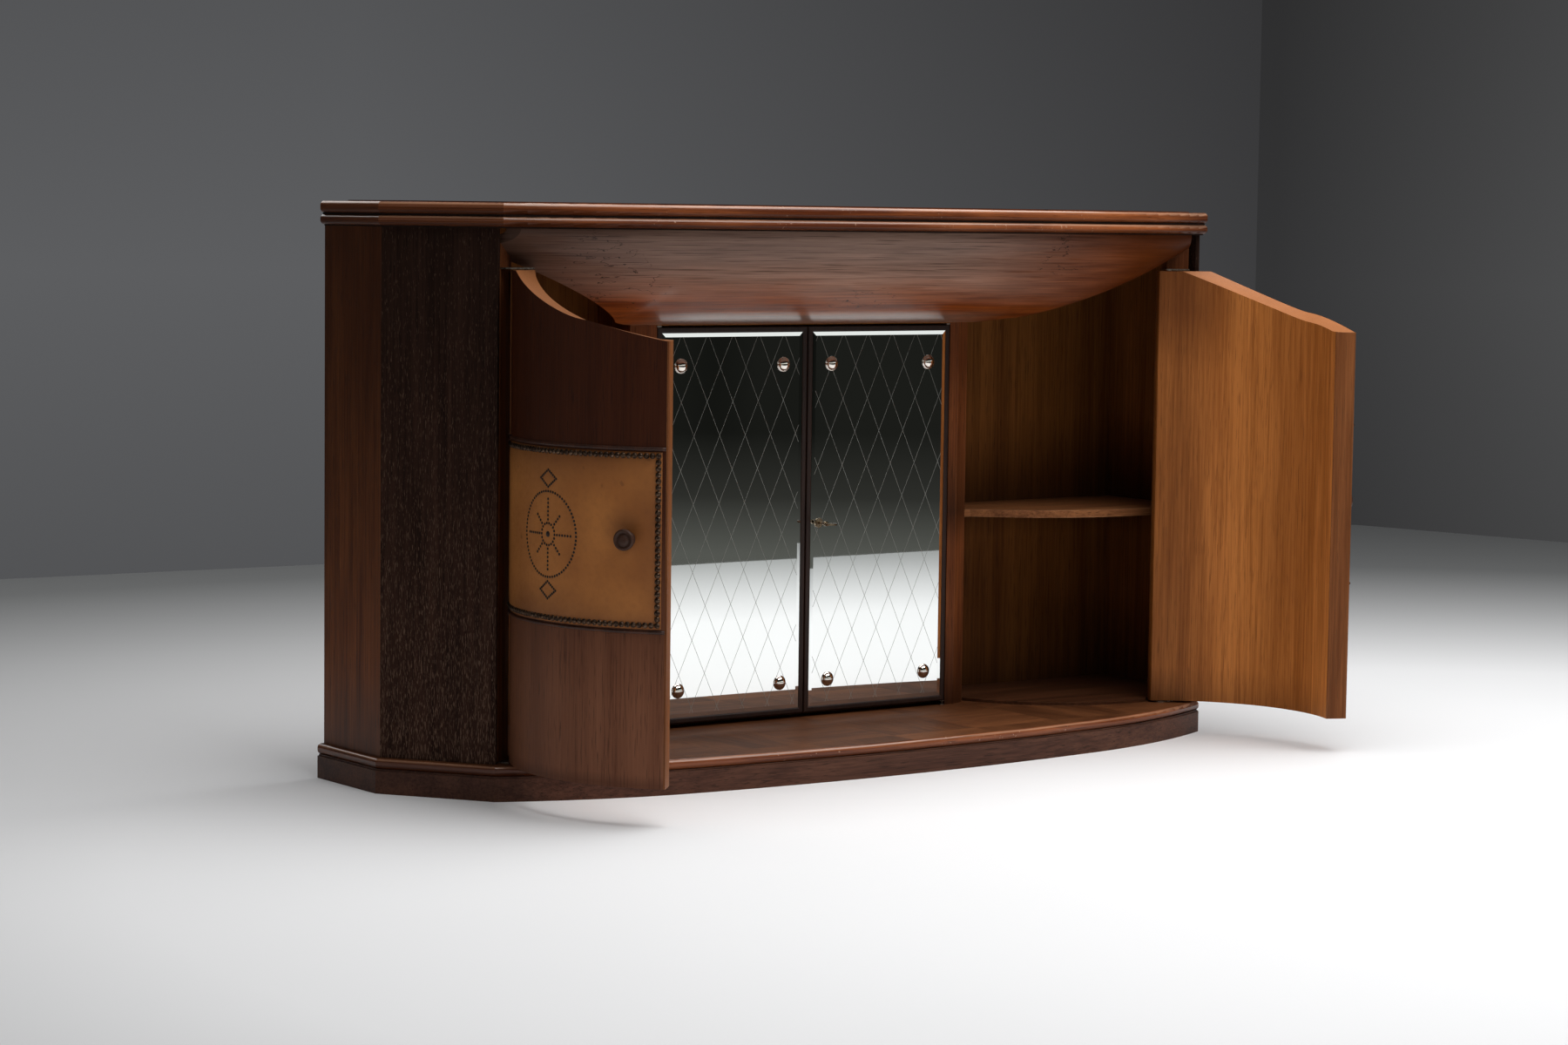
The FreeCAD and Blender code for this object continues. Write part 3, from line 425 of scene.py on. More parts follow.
def door_veneer(side):
    """Dark outside with painted floor light at the foot, golden inside with painted shade at the hinge, a raw cut.
    """
    shader = Shader("door_wood_" + side)
    outer, height, blend = shader.wood("z", door_outside, contrast=0.7, cloud_share=0.5)
    floor_lit = shader.wood("z", door_floor_lit, contrast=0.7, fibre=(330.0, 5.0))[0]
    inner, _, inner_blend = shader.wood("z", door_inside, figure=(18.0, 0.7), fibre=(230.0, 5.0),
                                        contrast=1.3, pore_share=0.5, cloud_share=0.55, cloud=(6.0, 6.0, 1.6))
    parts = shader.separate(shader.place)
    rise = parts["Z"]
    centre = turned(circle_centre, side)
    dx = shader.minus(parts["X"], centre.x)
    dy = shader.minus(parts["Y"], centre.y)
    reach = shader.math("SQRT", shader.plus(shader.times(dx, dx), shader.times(dy, dy)))

    # painted light from the floor: the outside paler toward the foot
    outer = shader.mix(shader.ramp(rise, *door_floor_light), outer, floor_lit)
    outer = shader.tint(outer, shader.ramp(rise, *door_foot), 0.5, (0.06, 0.018, 0.008))

    # painted shade: the inside darker near the hinge and at the foot, paler toward the free end
    hinge = on_door(side, 0.0, door_radius - pivot_to_face, 0.0)
    apart = shader.distance(shader.stretched((1.0, 1.0, 0.0)), hinge)
    painted_light_gain = shader.plus(shader.times(shader.ramp(apart, 0.03, 0.1), 0.34),
                        shader.times(shader.ramp(apart, 0.22, 0.4), 0.36))
    painted_light_gain = shader.minus(shader.plus(painted_light_gain, 0.76), shader.times(shader.ramp(rise, *door_inner_foot), 0.35))
    # painted shade under the apron near the hinge
    apron_shade = shader.times(shader.ramp(apart, 0.17, 0.05), shader.ramp(rise, *door_apron_shade))
    inner = shader.tint(shader.scaled(inner, painted_light_gain), apron_shade, 0.65, (0.09, 0.024, 0.005))
    is_inner = shader.ramp(shader.minus(door_radius - door_thickness + inner_skin, reach), 0.0, 0.002)
    # painted shade: the inner wood 0.75 darker on faces other than the inner face
    inner = shader.mix(is_inner, shader.scaled(inner, 0.75), inner)

    raw = shader.mix(inner_blend, (0.25, 0.088, 0.029), (0.43, 0.165, 0.06))
    # painted shade: the left door's cut darker than the right's
    raw = shader.scaled(raw, 0.6 if side == "left" else 1.0)
    level = shader.absolute(shader.separate(shader.facing())["Z"])
    tone = shader.mix(shader.math("GREATER_THAN", level, 0.4), inner, raw)
    tone = shader.mix(shader.math("GREATER_THAN", reach, door_radius - outer_skin), tone, outer)
    shader.bump(height)
    return shader.finish(tone, shader.sloped(blend, 0.14, 0.36), specular=0.14)


def lined_panel(name, letter, face):
    """Brown outside, with painted floor light paler toward the floor and a grey painted glow at the foot; golden
    inside, with painted shade round the floors and shelves.
    """
    shader = Shader(name)
    outer, height, blend = shader.wood("z", brown, figure=(16.0, 1.6), cloud_share=0.75,
                                       cloud=(7.0, 7.0, 2.4))
    inner = shader.wood("z", golden, figure=(26.0, 0.8))[0]
    parts = shader.separate(shader.place)
    # painted light from the floor: paler below, and a grey painted glow of it at the foot
    outer = shader.lit_from_floor(shader.scaled(outer, 0.92), 0.85, high=0.62)
    outer = shader.tint(outer, shader.ramp(parts["Z"], *panel_floor_glow), 0.5, (0.085, 0.06, 0.052))
    is_outer = shader.math("GREATER_THAN", shader.absolute(parts[letter]), face - panel_skin)
    tone = shader.mix(is_outer, shader.shaded_bays(inner), outer)
    tone = shader.worn_edges(tone, blend, 0.6, (0.2, 0.085, 0.045))
    shader.bump(height)
    return shader.finish(tone, shader.sloped(blend, 0.14, 0.38), specular=0.12)


def corner_oak():
    """Brushed dark oak of the splayed corners: near black with light vertical flecks, more of them below."""
    shader = Shader("corner_wood")
    tone, height, _ = shader.wood("z", corner_dark, figure=(40.0, 2.0))
    flecks = shader.noise(grain_scale("z", 700.0, 85.0), detail=1.0, shift=(0.3, 0.1, 2.0))
    worn = shader.ramp(shader.separate(shader.place)["Z"], 0.9, 0.1)
    limit = shader.minus(0.66, shader.times(worn, 0.1))
    marks = shader.ramp(shader.minus(flecks, limit), 0.0, 0.05)
    tone = shader.tint(tone, marks, 0.6, (0.115, 0.068, 0.045))
    shader.bump(height, 0.5, 0.0008)
    # painted light from the floor: the oak paler toward its foot
    return shader.finish(shader.lit_from_floor(tone, 0.7), 0.6, specular=0.05)


def rim_gloss(name, tones, quarters=0.0):
    """Lacquered solid wood on rounded rims, chipped, with painted shade at the ends and underneath and a painted
    highlight on its crests; a duller veneer where the board is level, laid in squares of crossing grain if
    quarters gives their width."""
    shader = Shader(name)
    upward = shader.separate(shader.facing())["Z"]
    parts = shader.separate(shader.place)
    grain = {"figure": (14.0, 3.0), "fibre": (300.0, 9.0)}
    board = shader.wood("x", tones, **grain)[0]
    if quarters:
        crossed = shader.wood("y", tones, **grain)[0]
        steps = [shader.math("FLOOR", shader.math("DIVIDE", parts[letter], quarters)) for letter in "XY"]
        odd = shader.math("PINGPONG", shader.plus(*steps), 1.0)
        board = shader.mix(odd, board, shader.scaled(crossed, 0.84))
        # painted shade: the level board darker toward the back, inside the carcass
        board = shader.tint(board, shader.ramp(parts["Y"], -0.2, 0.06), 0.45, tones[0])

    shader.run_round()
    tone, height, blend = shader.wood("x", rim_red, figure=(9.0, 1.6), contrast=1.3)
    chips = shader.noise(150.0, detail=2.0, shift=(7.0, 2.0, 1.0))
    patches = shader.noise(7.0, detail=1.0, shift=(1.0, 4.0, 2.0))
    chipped = shader.times(shader.ramp(chips, 0.64, 0.68), shader.ramp(patches, 0.54, 0.6))
    tone = shader.tint(tone, chipped, 0.75, (0.48, 0.28, 0.18))
    # painted shade at the ends, where the rims get less light
    end_shade = shader.ramp(shader.absolute(parts["X"]), 0.62, 0.74)
    tone = shader.tint(tone, end_shade, 0.5, (0.035, 0.01, 0.004))
    # painted highlight on the crests of the rounding
    crest = shader.times(shader.ramp(upward, 0.3, 0.6), shader.ramp(upward, 0.93, 0.8))
    painted_highlight = shader.times(crest, shader.ramp(blend, 0.3, 0.6))
    tone = shader.tint(tone, painted_highlight, 0.6, (0.56, 0.33, 0.21))
    # painted shade on the undersides of the mouldings
    underside_shade = shader.ramp(upward, 0.25, -0.5)
    tone = shader.tint(tone, underside_shade, 0.6, (0.03, 0.008, 0.003))

    level = shader.ramp(upward, 0.93, 0.985)
    rough = shader.plus(shader.times(blend, 0.12), shader.times(level, 0.2))
    raised = shader.times(shader.minus(1.0, level), shader.minus(1.0, underside_shade))
    shader.bump(height, 0.12, 0.0005)
    return shader.finish(shader.mix(level, tone, board), shader.plus(rough, 0.24),
                         coat=shader.times(raised, 0.8), coat_roughness=0.07, specular=0.09)


def apron_veneer():
    """Belly veneer with a level grain and fine open cracks: a grey painted sheen above, with painted shade just
    under the top, red below and to the right, painted shade at the ends and a pale painted reflection along
    the middle of its lower rim."""
    shader = Shader("apron_wood")
    tone, height, blend = shader.wood("xy", apron_grey_sheen, figure=(75.0, 2.6), fibre=(380.0, 7.0),
                                      pores=(620.0, 8.0), pore_share=0.7)
    parts = shader.separate(shader.place)
    x, z = parts["X"], parts["Z"]
    from_middle = shader.absolute(x)
    wave = shader.noise((3.0, 3.0, 22.0), detail=2.0, shift=(2.0, 0.0, 5.0))
    waved = shader.plus(z, shader.times(shader.minus(wave, 0.5), 0.05))
    # red below and to the right, where the grey painted sheen gives way
    lower = shader.maximum(shader.ramp(waved, *apron_lower), shader.ramp(x, 0.1, 0.6))
    red = shader.mix(shader.ramp(blend, 0.4, 0.62), (0.11, 0.0185, 0.0015), (0.3, 0.068, 0.008))
    tone = shader.tint(tone, lower, 0.95, red)
    # painted shade just under the top
    tone = shader.scaled(tone, shader.sloped(shader.ramp(waved, *apron_top_shade), 0.6, 0.66))
    # painted shade at the ends
    tone = shader.tint(tone, shader.ramp(from_middle, 0.5, 0.75), 0.7, (0.04, 0.014, 0.006))
    tone = shader.tint(tone, shader.ramp(x, 0.2, 0.6), 0.55, (0.085, 0.02, 0.004))
    tone = shader.tint(tone, shader.ramp(z, *apron_rim), 0.6, (0.3, 0.12, 0.06))

    cracks = shader.noise((14.0, 14.0, 60.0), shift=(1.0, 3.0, 7.0))
    near = shader.ramp(shader.absolute(shader.minus(cracks, 0.5)), 0.008, 0.003)
    place = shader.ramp(shader.noise(5.0, detail=0.0, shift=(4.0, 2.0, 3.0)), 0.66, 0.7)
    crack = shader.times(near, place)
    tone = shader.tint(tone, crack, 0.85, (0.015, 0.008, 0.006))
    shader.bump(shader.minus(height, shader.times(crack, 2.0)), 0.14, 0.0005)

    # painted reflection: a pale band along the middle of the lower rim
    painted_highlight = shader.times(shader.ramp(z, *apron_reflection_band), shader.ramp(from_middle, 0.42, 0.3))
    tone = shader.tint(tone, painted_highlight, 0.45, (0.3, 0.215, 0.16))
    polish = shader.times(shader.ramp(lower, 0.9, 0.1), 0.25)
    return shader.finish(tone, shader.sloped(blend, 0.12, 0.36), coat=shader.maximum(polish, painted_highlight),
                         coat_roughness=0.26, specular=0.05)


def leather_hide():
    """Tan hide, with a painted shadow round the knob and painted shade toward its edges."""
    shader = Shader("leather_tan")
    cloud = shader.noise(6.0, detail=2.0)
    small = shader.noise(90.0, detail=4.0, roughness=0.65)
    stains = shader.noise(46.0, detail=1.0, shift=(5.0, 1.0, 8.0))
    tone = shader.mix(shader.ramp(cloud, 0.3, 0.7), (0.32, 0.105, 0.0215), (0.545, 0.205, 0.0475))
    tone = shader.tint(tone, shader.ramp(small, 0.45, 0.7), 0.2, (0.2, 0.072, 0.021))
    tone = shader.tint(tone, shader.ramp(stains, 0.74, 0.79), 0.4, (0.09, 0.034, 0.012))
    off = shader.absolute(shader.minus(shader.separate(shader.place)["Z"], leather_middle))
    # painted shade toward the top and bottom nailed edges
    rim = shader.math("POWER", shader.ramp(off, leather_half - 0.075, leather_half - 0.004), 1.5)
    shade = shader.times(rim, 0.58)
    level = shader.stretched((1.0, 1.0, 0.0))
    for side in sides:
        # painted shadow cast by the knob
        knob = on_door(side, knob_angle, leather_face, knob_height + 0.012)
        knob_shadow = shader.ramp(shader.distance(shader.place, knob), 0.052, 0.016)
        shade = shader.maximum(shade, shader.times(knob_shadow, 0.42))
        # painted shade toward both upright edges
        for angle, width in ((leather_last, 0.085), (leather_first, 0.075)):
            apart = shader.distance(level, on_door(side, angle, leather_face, 0.0))
            near = shader.math("POWER", shader.ramp(apart, width, 0.004), 1.5)
            shade = shader.maximum(shade, shader.times(near, 0.5))
    tone = shader.mix(shade, tone, (0.105, 0.031, 0.008))
    cells = shader.node("ShaderNodeTexVoronoi", {"Vector": shader.stretched((900.0,) * 3), "Scale": 1.0},
                        feature="DISTANCE_TO_EDGE")["Distance"]
    shader.bump(shader.plus(shader.ramp(cells, 0.0, 0.25), shader.times(small, 0.8)), 0.25, 0.0004)
    return shader.finish(tone, shader.sloped(small, 0.2, 0.4), specular=0.3)


def tooled_lines():
    """Dark lines and dots of the ornament on the hide."""
    shader = Shader("leather_tooling")
    tone = shader.mix(shader.noise(500.0, detail=2.0), (0.012, 0.009, 0.0085), (0.03, 0.02, 0.016))
    return shader.finish(tone, 0.45, specular=0.25)


def metal(name, colour, tarnish, roughness, worn=0.5):
    """Aged metal: the tarnish lies in patches between brighter rubbed places."""
    shader = Shader(name)
    share = shader.ramp(shader.noise(240.0), worn - 0.12, worn + 0.12)
    tone = shader.mix(share, colour, tarnish)
    shader.bump(shader.noise((1400.0, 300.0, 1400.0), detail=2.0), 0.12, 0.0002)
    return shader.finish(tone, shader.sloped(share, 0.2, roughness), metallic=1.0)


def silvered():
    """Old silvered glass."""
    shader = Shader("mirror_silver")
    haze = shader.noise(5.0, detail=5.0, roughness=0.7)
    return shader.finish(shader.mix(haze, (0.84, 0.86, 0.85), (0.885, 0.9, 0.89)), 0.012, metallic=1.0)


def engraved():
    """Matt ground lines of the lattice."""
    shader = Shader("lattice_frost")
    tone = shader.mix(shader.noise(900.0, detail=2.0), (0.2, 0.206, 0.19), (0.3, 0.306, 0.282))
    return shader.finish(tone, 0.6)


def tarnished_knob():
    """Dark turned knob, rubbed lighter on its rings."""
    shader = Shader("knob_bronze")
    fine = shader.noise(420.0)
    tone = shader.mix(fine, (0.03, 0.0125, 0.0075), (0.07, 0.031, 0.019))
    tone = shader.tint(tone, shader.edge(0.0012, 0.01, 0.12), 0.5, (0.2, 0.1, 0.06))
    shader.bump(fine, 0.12, 0.0003)
    return shader.finish(tone, shader.sloped(fine, 0.18, 0.3), specular=0.2)


# One finish for each material slot of the record, and the plain veneers of single boards
materials = {
    "apron_wood": apron_veneer(),
    "edge_wood": rim_gloss("rim_wood", top_level),
    "corner_wood": corner_oak(),
    "leather": leather_hide(),
    "mirror": silvered(),
    "bronze": metal("brass_old", (0.34, 0.26, 0.17), (0.085, 0.058, 0.036), 0.2),
    "steel": metal("steel_old", (0.3, 0.26, 0.22), (0.09, 0.07, 0.055), 0.3),
    **{name: veneer(name, **settings) for name, settings in veneers.items()},
}
frost = engraved()
tooling = tooled_lines()
knob_finish = tarnished_knob()
nickel = metal("nickel_old", (0.78, 0.73, 0.67), (0.5, 0.42, 0.35), 0.09, 0.72)
nail_finish = metal("nail_bronze", (0.16, 0.1, 0.065), (0.035, 0.022, 0.016), 0.3, 0.45)


def dress(name, material):
    """Gives a CAD node one finish in each of its material slots."""
    data = nodes[name].data
    if not data.materials:
        data.materials.append(material)
    for i in range(len(data.materials)):
        data.materials[i] = material


def dress_nodes():
    """The finishes of the record's slots, and then those of boards that have their own."""
    for row in frame["record"]["subparts"]:
        if row["material_slot"] in materials:
            dress(row["node"], materials[row["material_slot"]])
    dress("deck_board", rim_gloss("deck_wood", deck_level, quarters=0.19))
    dress("back_panel", lined_panel("back_wood", "Y", back_face))
    for name in ("centre_floor", "centre_shelf"):
        dress(name, materials["board_wood"])
    flank = lined_panel("flank_wood", "X", side_face)
    for side in sides:
        dress("side_door_panel_" + side, door_veneer(side))
        dress("side_door_knob_" + side, knob_finish)
        dress("mirror_rosettes_" + side, nickel)
        dress("compartment_floor_" + side, materials["floor_wood"])
        dress("side_shelf_" + side, materials["shelf_wood"])
        dress("partition_" + side, materials["stile_wood"])
        dress("stop_post_" + side, materials["stile_wood"])
        dress("side_panel_" + side, flank)


dress_nodes()


def spread(first, last, count):
    """Evenly spaced values from first to last, both included."""
    return [first + (last - first) * k / count for k in range(count + 1)]


def ring(centre, out, radius, height, around):
    """Points of a circle about the axis that runs from centre along out."""
    side = out.orthogonal().normalized()
    other = out.cross(side)
    spins = [2 * math.pi * step / around for step in range(around)]
    flats = [side * math.cos(spin) + other * math.sin(spin) for spin in spins]
    return [centre + flat * radius + out * height for flat in flats]


def band(start, around):
    """Faces between the ring of points from start on and the ring that follows it."""
    return [(start + k, start + (k + 1) % around, start + around + (k + 1) % around, start + around + k)
            for k in range(around)]


class Builder:
    """Collects the points and faces of one piece."""

    def __init__(self):
        self.points = []
        self.faces = []

    def add(self, points, faces):
        base = len(self.points)
        self.points += points
        self.faces += [tuple(base + i for i in face) for face in faces]

    def dome(self, centre, out, radius, rise, around=14, rings=4):
        """A low dome with a closed flat back."""
        points = []
        faces = [tuple(range(around - 1, -1, -1))]
        for k in range(rings):
            turn = math.pi / 2 * k / rings
            points += ring(centre, out, radius * math.cos(turn), rise * math.sin(turn), around)
        for k in range(rings - 1):
            faces += band(k * around, around)
        last = (rings - 1) * around
        faces += [(last + step, last + (step + 1) % around, rings * around) for step in range(around)]
        self.add(points + [centre + out * rise], faces)

    def lathe(self, centre, out, shape, radius, rise, around=40):
        """A turned solid; its shape, in shares of radius and rise, starts and ends on its axis."""
        points = [centre + out * shape[0][1] * rise]
        for share, height in shape[1:-1]:
            points += ring(centre, out, radius * share, rise * height, around)
        points.append(centre + out * shape[-1][1] * rise)
        rings = len(shape) - 2
        faces = [(0, 1 + (step + 1) % around, 1 + step) for step in range(around)]
        for k in range(rings - 1):
            faces += band(1 + k * around, around)
        last = 1 + (rings - 1) * around
        faces += [(last + step, last + (step + 1) % around, len(points) - 1) for step in range(around)]
        self.add(points, faces)

    def strip(self, start, end, across, out, width, rise):
        """A slender ridge with a triangular section."""
        half = across * width / 2
        points = [start - half, start + half, start + out * rise, end - half, end + half, end + out * rise]
        self.add(points, [(0, 1, 2), (3, 5, 4), (0, 3, 4, 1), (1, 4, 5, 2), (2, 5, 3, 0)])


def linked(name, data):
    made = bpy.data.objects.new(name, data)
    bpy.context.scene.collection.objects.link(made)
    return made


def piece(name, built, material, body, smooth=True):
    """A mesh piece in place, riding on its body."""
    mesh = bpy.data.meshes.new(name)
    mesh.from_pydata([tuple(point) for point in built.points], [], built.faces)
    mesh.update()
    shape = bmesh.new()
    shape.from_mesh(mesh)
    bmesh.ops.recalc_face_normals(shape, faces=shape.faces)
    shape.to_mesh(mesh)
    shape.free()
    for polygon in mesh.polygons:
        polygon.use_smooth = smooth
    mesh.materials.append(material)
    made = linked(name, mesh)
    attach(made, body)
    return made


def nail_places():
    """Angle and height of each nail: along the top, the bottom and the free edge."""
    low = leather_low + nail_edge
    high = leather_high - nail_edge
    first = leather_first + nail_edge / door_radius
    last = leather_last - nail_edge / door_radius
    along = round((last - first) * door_radius / nail_pitch)
    places = [(angle, z) for angle in spread(first, last, along) for z in (low, high)]
    return places + [(last, z) for z in spread(low, high, round((high - low) / nail_pitch))[1:-1]]


def make_nails(side):
    built = Builder()
    for angle, z in nail_places():
        foot = on_door(side, angle, leather_face - nail_sink, z)
        built.dome(foot, outward(side, angle), nail_radius, nail_rise)
    piece("dome_nails_" + side, built, nail_finish, side + "_door")


def hide_height(angle, z):
    """The hide's height over its flat thickness: slightly full, and drawn down along the nails."""
    to_rim = min(z - leather_low, leather_high - z, (leather_last - angle) * door_radius)
    full = min(1.0, max(0.0, (to_rim - hide_full_from) / hide_full_within))
    full = full * full * (3 - 2 * full)
    pull = math.cos(angle * door_radius / nail_pitch * 2 * math.pi)
    near = math.exp(-((to_rim - hide_pull_at) / hide_pull_width) ** 2)
    return -hide_sink + hide_fullness * full + hide_pull * pull * near


def make_leather(side):
    """Hide stretched over the door, closed at its back."""
    around, up = leather_cells
    angles = spread(leather_first, leather_last, around)
    points = [on_door(side, angle, leather_face + hide_height(angle, z), z)
              for angle in angles for z in spread(leather_low, leather_high, up)]
    row = up + 1
    low_back = len(points)
    high_back = low_back + around + 1
    points += [on_door(side, angle, door_radius, z) for z in (leather_low, leather_high) for angle in angles]
    faces = []
    for i in range(around):
        near, far = i * row, (i + 1) * row
        faces += [(near + j, far + j, far + j + 1, near + j + 1) for j in range(up)]
        faces.append((near, low_back + i, low_back + i + 1, far))
        faces.append((near + up, far + up, high_back + i + 1, high_back + i))
        faces.append((low_back + i, high_back + i, high_back + i + 1, low_back + i + 1))
    for i in (0, around):
        faces.append((*range(i * row, i * row + row), high_back + i, low_back + i))
    built = Builder()
    built.add(points, faces)
    made = piece("leather_skin_" + side, built, materials["leather"], side + "_door")
    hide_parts("leather_panel_" + side)


def make_beads(side):
    """Half-round mouldings above and below the leather."""
    around, up = bead_cells
    last = door_arc - lipping_thickness / door_radius
    turns = spread(0.0, math.pi, up)
    built = Builder()
    for z in (leather_high + bead_gap, leather_low - bead_gap):
        points = [on_door(side, angle, door_radius + bead_radius * math.sin(turn),
                          z - bead_radius * math.cos(turn))
                  for angle in spread(leather_first, last, around) for turn in turns]
        faces = [face for i in range(around) for face in band(i * (up + 1), up + 1)]
        faces += [tuple(range(up + 1)), tuple(range(around * (up + 1), (around + 1) * (up + 1)))]
        built.add(points, faces)
    made = piece("leather_beads_fine_" + side, built, materials["bead_wood"], side + "_door")
    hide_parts("leather_beads_" + side)


def make_knob(side):
    """Turned knob with a dished, ringed face."""
    built = Builder()
    foot = on_door(side, knob_angle, leather_face, knob_height)
    built.lathe(foot, outward(side, knob_angle), knob_shape, knob_radius, knob_projection)
    made = piece("knob_fine_" + side, built, knob_finish, side + "_door")
    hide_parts("side_door_knob_" + side)


def make_rosettes(side):
    """Domed caps with a fine rim over the mirror's four screws."""
    low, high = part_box("mirror_rosettes_" + side)
    built = Builder()
    for x in (low.x + rosette_radius, high.x - rosette_radius):
        for z in (low.z + rosette_radius, high.z - rosette_radius):
            foot = Vector((x, high.y, z))
            built.lathe(foot, to_front, rosette_shape, rosette_radius, rosette_rise)
    made = piece("rosettes_fine_" + side, built, nickel, side + "_mirror_door")
    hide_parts("mirror_rosettes_" + side)


def on_leather(across, up):
    """Angle and height of a place that is given by its distance from the ornament's middle."""
    return ornament_angle + across / door_radius, leather_middle + up


def oval(half_across, half_up, count):
    """Evenly spread places on an oval outline."""
    spins = [2 * math.pi * k / count for k in range(count)]
    return [on_leather(half_across * math.cos(spin), half_up * math.sin(spin)) for spin in spins]


def dotted(start, end, count):
    """Evenly spaced places on a straight line, both ends included."""
    across = spread(start[0], end[0], count)
    up = spread(start[1], end[1], count)
    return [on_leather(*place) for place in zip(across, up)]


def lozenge(shift):
    """Evenly spaced places on a small diamond outline."""
    across, up = lozenge_half
    corners = [(0, shift + up), (across, shift), (0, shift - up), (-across, shift)]
    lines = [dotted(corners[k], corners[(k + 1) % 4], lozenge_side_dots) for k in range(4)]
    return [place for line in lines for place in line[:-1]]


def make_motif(side):
    """Plain tooled ornament: an eight-rayed star in a beaded oval, with a small lozenge above and below."""
    places = oval(*oval_half, oval_dots) + oval(*hub_half, hub_dots)
    for k in range(8):
        across, up = math.cos(math.pi / 4 * k), math.sin(math.pi / 4 * k)
        reach = ray_reaches[k % 2]
        start = (ray_start[0] * across, ray_start[1] * up)
        end = (oval_half[0] * reach * across, oval_half[1] * reach * up)
        places += dotted(start, end, ray_gaps[k % 2])
    places += lozenge(-lozenge_shift) + lozenge(lozenge_shift)
    built = Builder()
    face = leather_face + ornament_lift
    for angle, z in places:
        built.dome(on_door(side, angle, face, z), outward(side, angle), *dot_size, around=8, rings=3)
    middle = on_door(side, ornament_angle, face, leather_middle)
    built.dome(middle, outward(side, ornament_angle), *boss_size, around=18)
    piece("leather_ornament_" + side, built, tooling, side + "_door")


def make_glass(side):
    """Mirror plate with a faint bevel ground round its front; the right one has a hole for the key."""
    low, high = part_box("mirror_glass_" + side)
    points = []
    for inset, y in ((glass_bevel, low.y), (0.0, low.y + glass_edge_back), (0.0, high.y)):
        x0, x1, z0, z1 = low.x + inset, high.x - inset, low.z + inset, high.z - inset
        points += [Vector((x, y, z)) for x, z in ((x0, z0), (x1, z0), (x1, z1), (x0, z1))]
    faces = band(0, 4) + band(4, 4)
    if side == "left":
        faces += [(0, 1, 2, 3), (8, 9, 10, 11)]
    else:
        key_x, _, key_z = joints["key_turn"]["pos_m"]
        around = 4 * key_hole_quarter
        spins = [math.radians(225) + math.pi / 2 * k / key_hole_quarter for k in range(around)]
        points += [Vector((key_x + key_hole * math.cos(spin), y, key_z + key_hole * math.sin(spin)))
                   for y in (low.y, high.y) for spin in spins]
        for start, corners in ((12, 0), (12 + around, 8)):
            for k in range(4):
                steps = range((k + 1) * key_hole_quarter, k * key_hole_quarter - 1, -1)
                arc = [start + step % around for step in steps]
                faces.append((corners + k, corners + (k + 1) % 4, *arc))
        faces += band(12, around)
    built = Builder()
    built.add(points, faces)
    made = piece("mirror_fine_" + side, built, materials["mirror"], side + "_mirror_door",
                 smooth=False)
    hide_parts("mirror_glass_" + side)


def clip(start, end, low, high):
    """The two ends of the stretch of a straight line inside a rectangle, or None."""
    first, last = 0.0, 1.0
    for k in range(2):
        run = end[k] - start[k]
        crossings = ((low[k] - start[k]) / run, (high[k] - start[k]) / run)
        first = max(first, min(crossings))
        last = min(last, max(crossings))
    if first >= last:
        return None
    return [[start[k] + (end[k] - start[k]) * share for k in range(2)] for share in (first, last)]


def make_lattice(side):
    """Engraved diamonds on the mirror, with a crossing on the centre line or half way past it."""
    low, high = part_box("mirror_glass_" + side)
    period = (high.x - low.x) / lattice_periods
    middle = (low.x + high.x) / 2 + (period / 2 if side == "right" else 0.0)
    rect_low = (low.x + glass_bevel, low.z + glass_bevel)
    rect_high = (high.x - glass_bevel, high.z - glass_bevel)
    top = high.z - lattice_drop
    lean = period / lattice_height * (top - low.z)
    count = math.ceil((high.x - low.x + lean) / period) + 1
    built = Builder()
    for direction in (-1, 1):
        for k in range(-count, count + 1):
            x = middle + k * period
            ends = clip((x, top), (x + direction * lean, low.z), rect_low, rect_high)
            if ends:
                start, end = [Vector((end_x, low.y + lattice_lift, end_z)) for end_x, end_z in ends]
                across = (end - start).cross(to_front).normalized()
                built.strip(start, end, across, to_front, lattice_line, lattice_rise)
    piece("mirror_lattice_" + side, built, frost, side + "_mirror_door", smooth=False)


for side in sides:
    make_leather(side)
    make_beads(side)
    make_knob(side)
    make_rosettes(side)
    make_nails(side)
    make_motif(side)
    make_glass(side)
    make_lattice(side)


def stage_floor():
    """Pale floor that ends where the photograph's floor ends, greyer toward the walls as a painted pool of light
    fades, and greyer at its near end.
    """
    mesh = bpy.data.meshes.new("floor")
    corners = [(x, y, 0.0) for x, y in floor_corners]
    mesh.from_pydata(corners, [], [tuple(reversed(range(len(corners))))])
    shader = Shader("floor_pale")
    place = shader.separate(shader.place)
    away = shader.distance(shader.place, light_pool_centre)
    tone = shader.mix(shader.noise(1.3), (0.85, 0.85, 0.855), (0.87, 0.87, 0.875))
    # painted pool of light, greying away from its centre
    tone = shader.mix(shader.ramp(away, *light_pool_reach), tone, (0.3, 0.305, 0.305))
    far = shader.times(shader.ramp(place["Y"], -1.7, -2.85), shader.ramp(place["X"], 0.3, 1.2))
    tone = shader.tint(tone, far, 0.9, (0.42, 0.43, 0.425))
    mesh.materials.append(shader.finish(tone, 0.6))
    made = linked("floor", mesh)


def stage_lights():
    for name, (place, aim, (size, size_y), power) in lamps.items():
        data = bpy.data.lights.new(name, "AREA")
        data.shape = "RECTANGLE"
        data.size = size
        data.size_y = size_y
        data.energy = power
        made = linked(name, data)
        made.location = place
        made.rotation_mode = "QUATERNION"
        made.rotation_quaternion = (Vector(aim) - Vector(place)).to_track_quat("-Z", "Y")


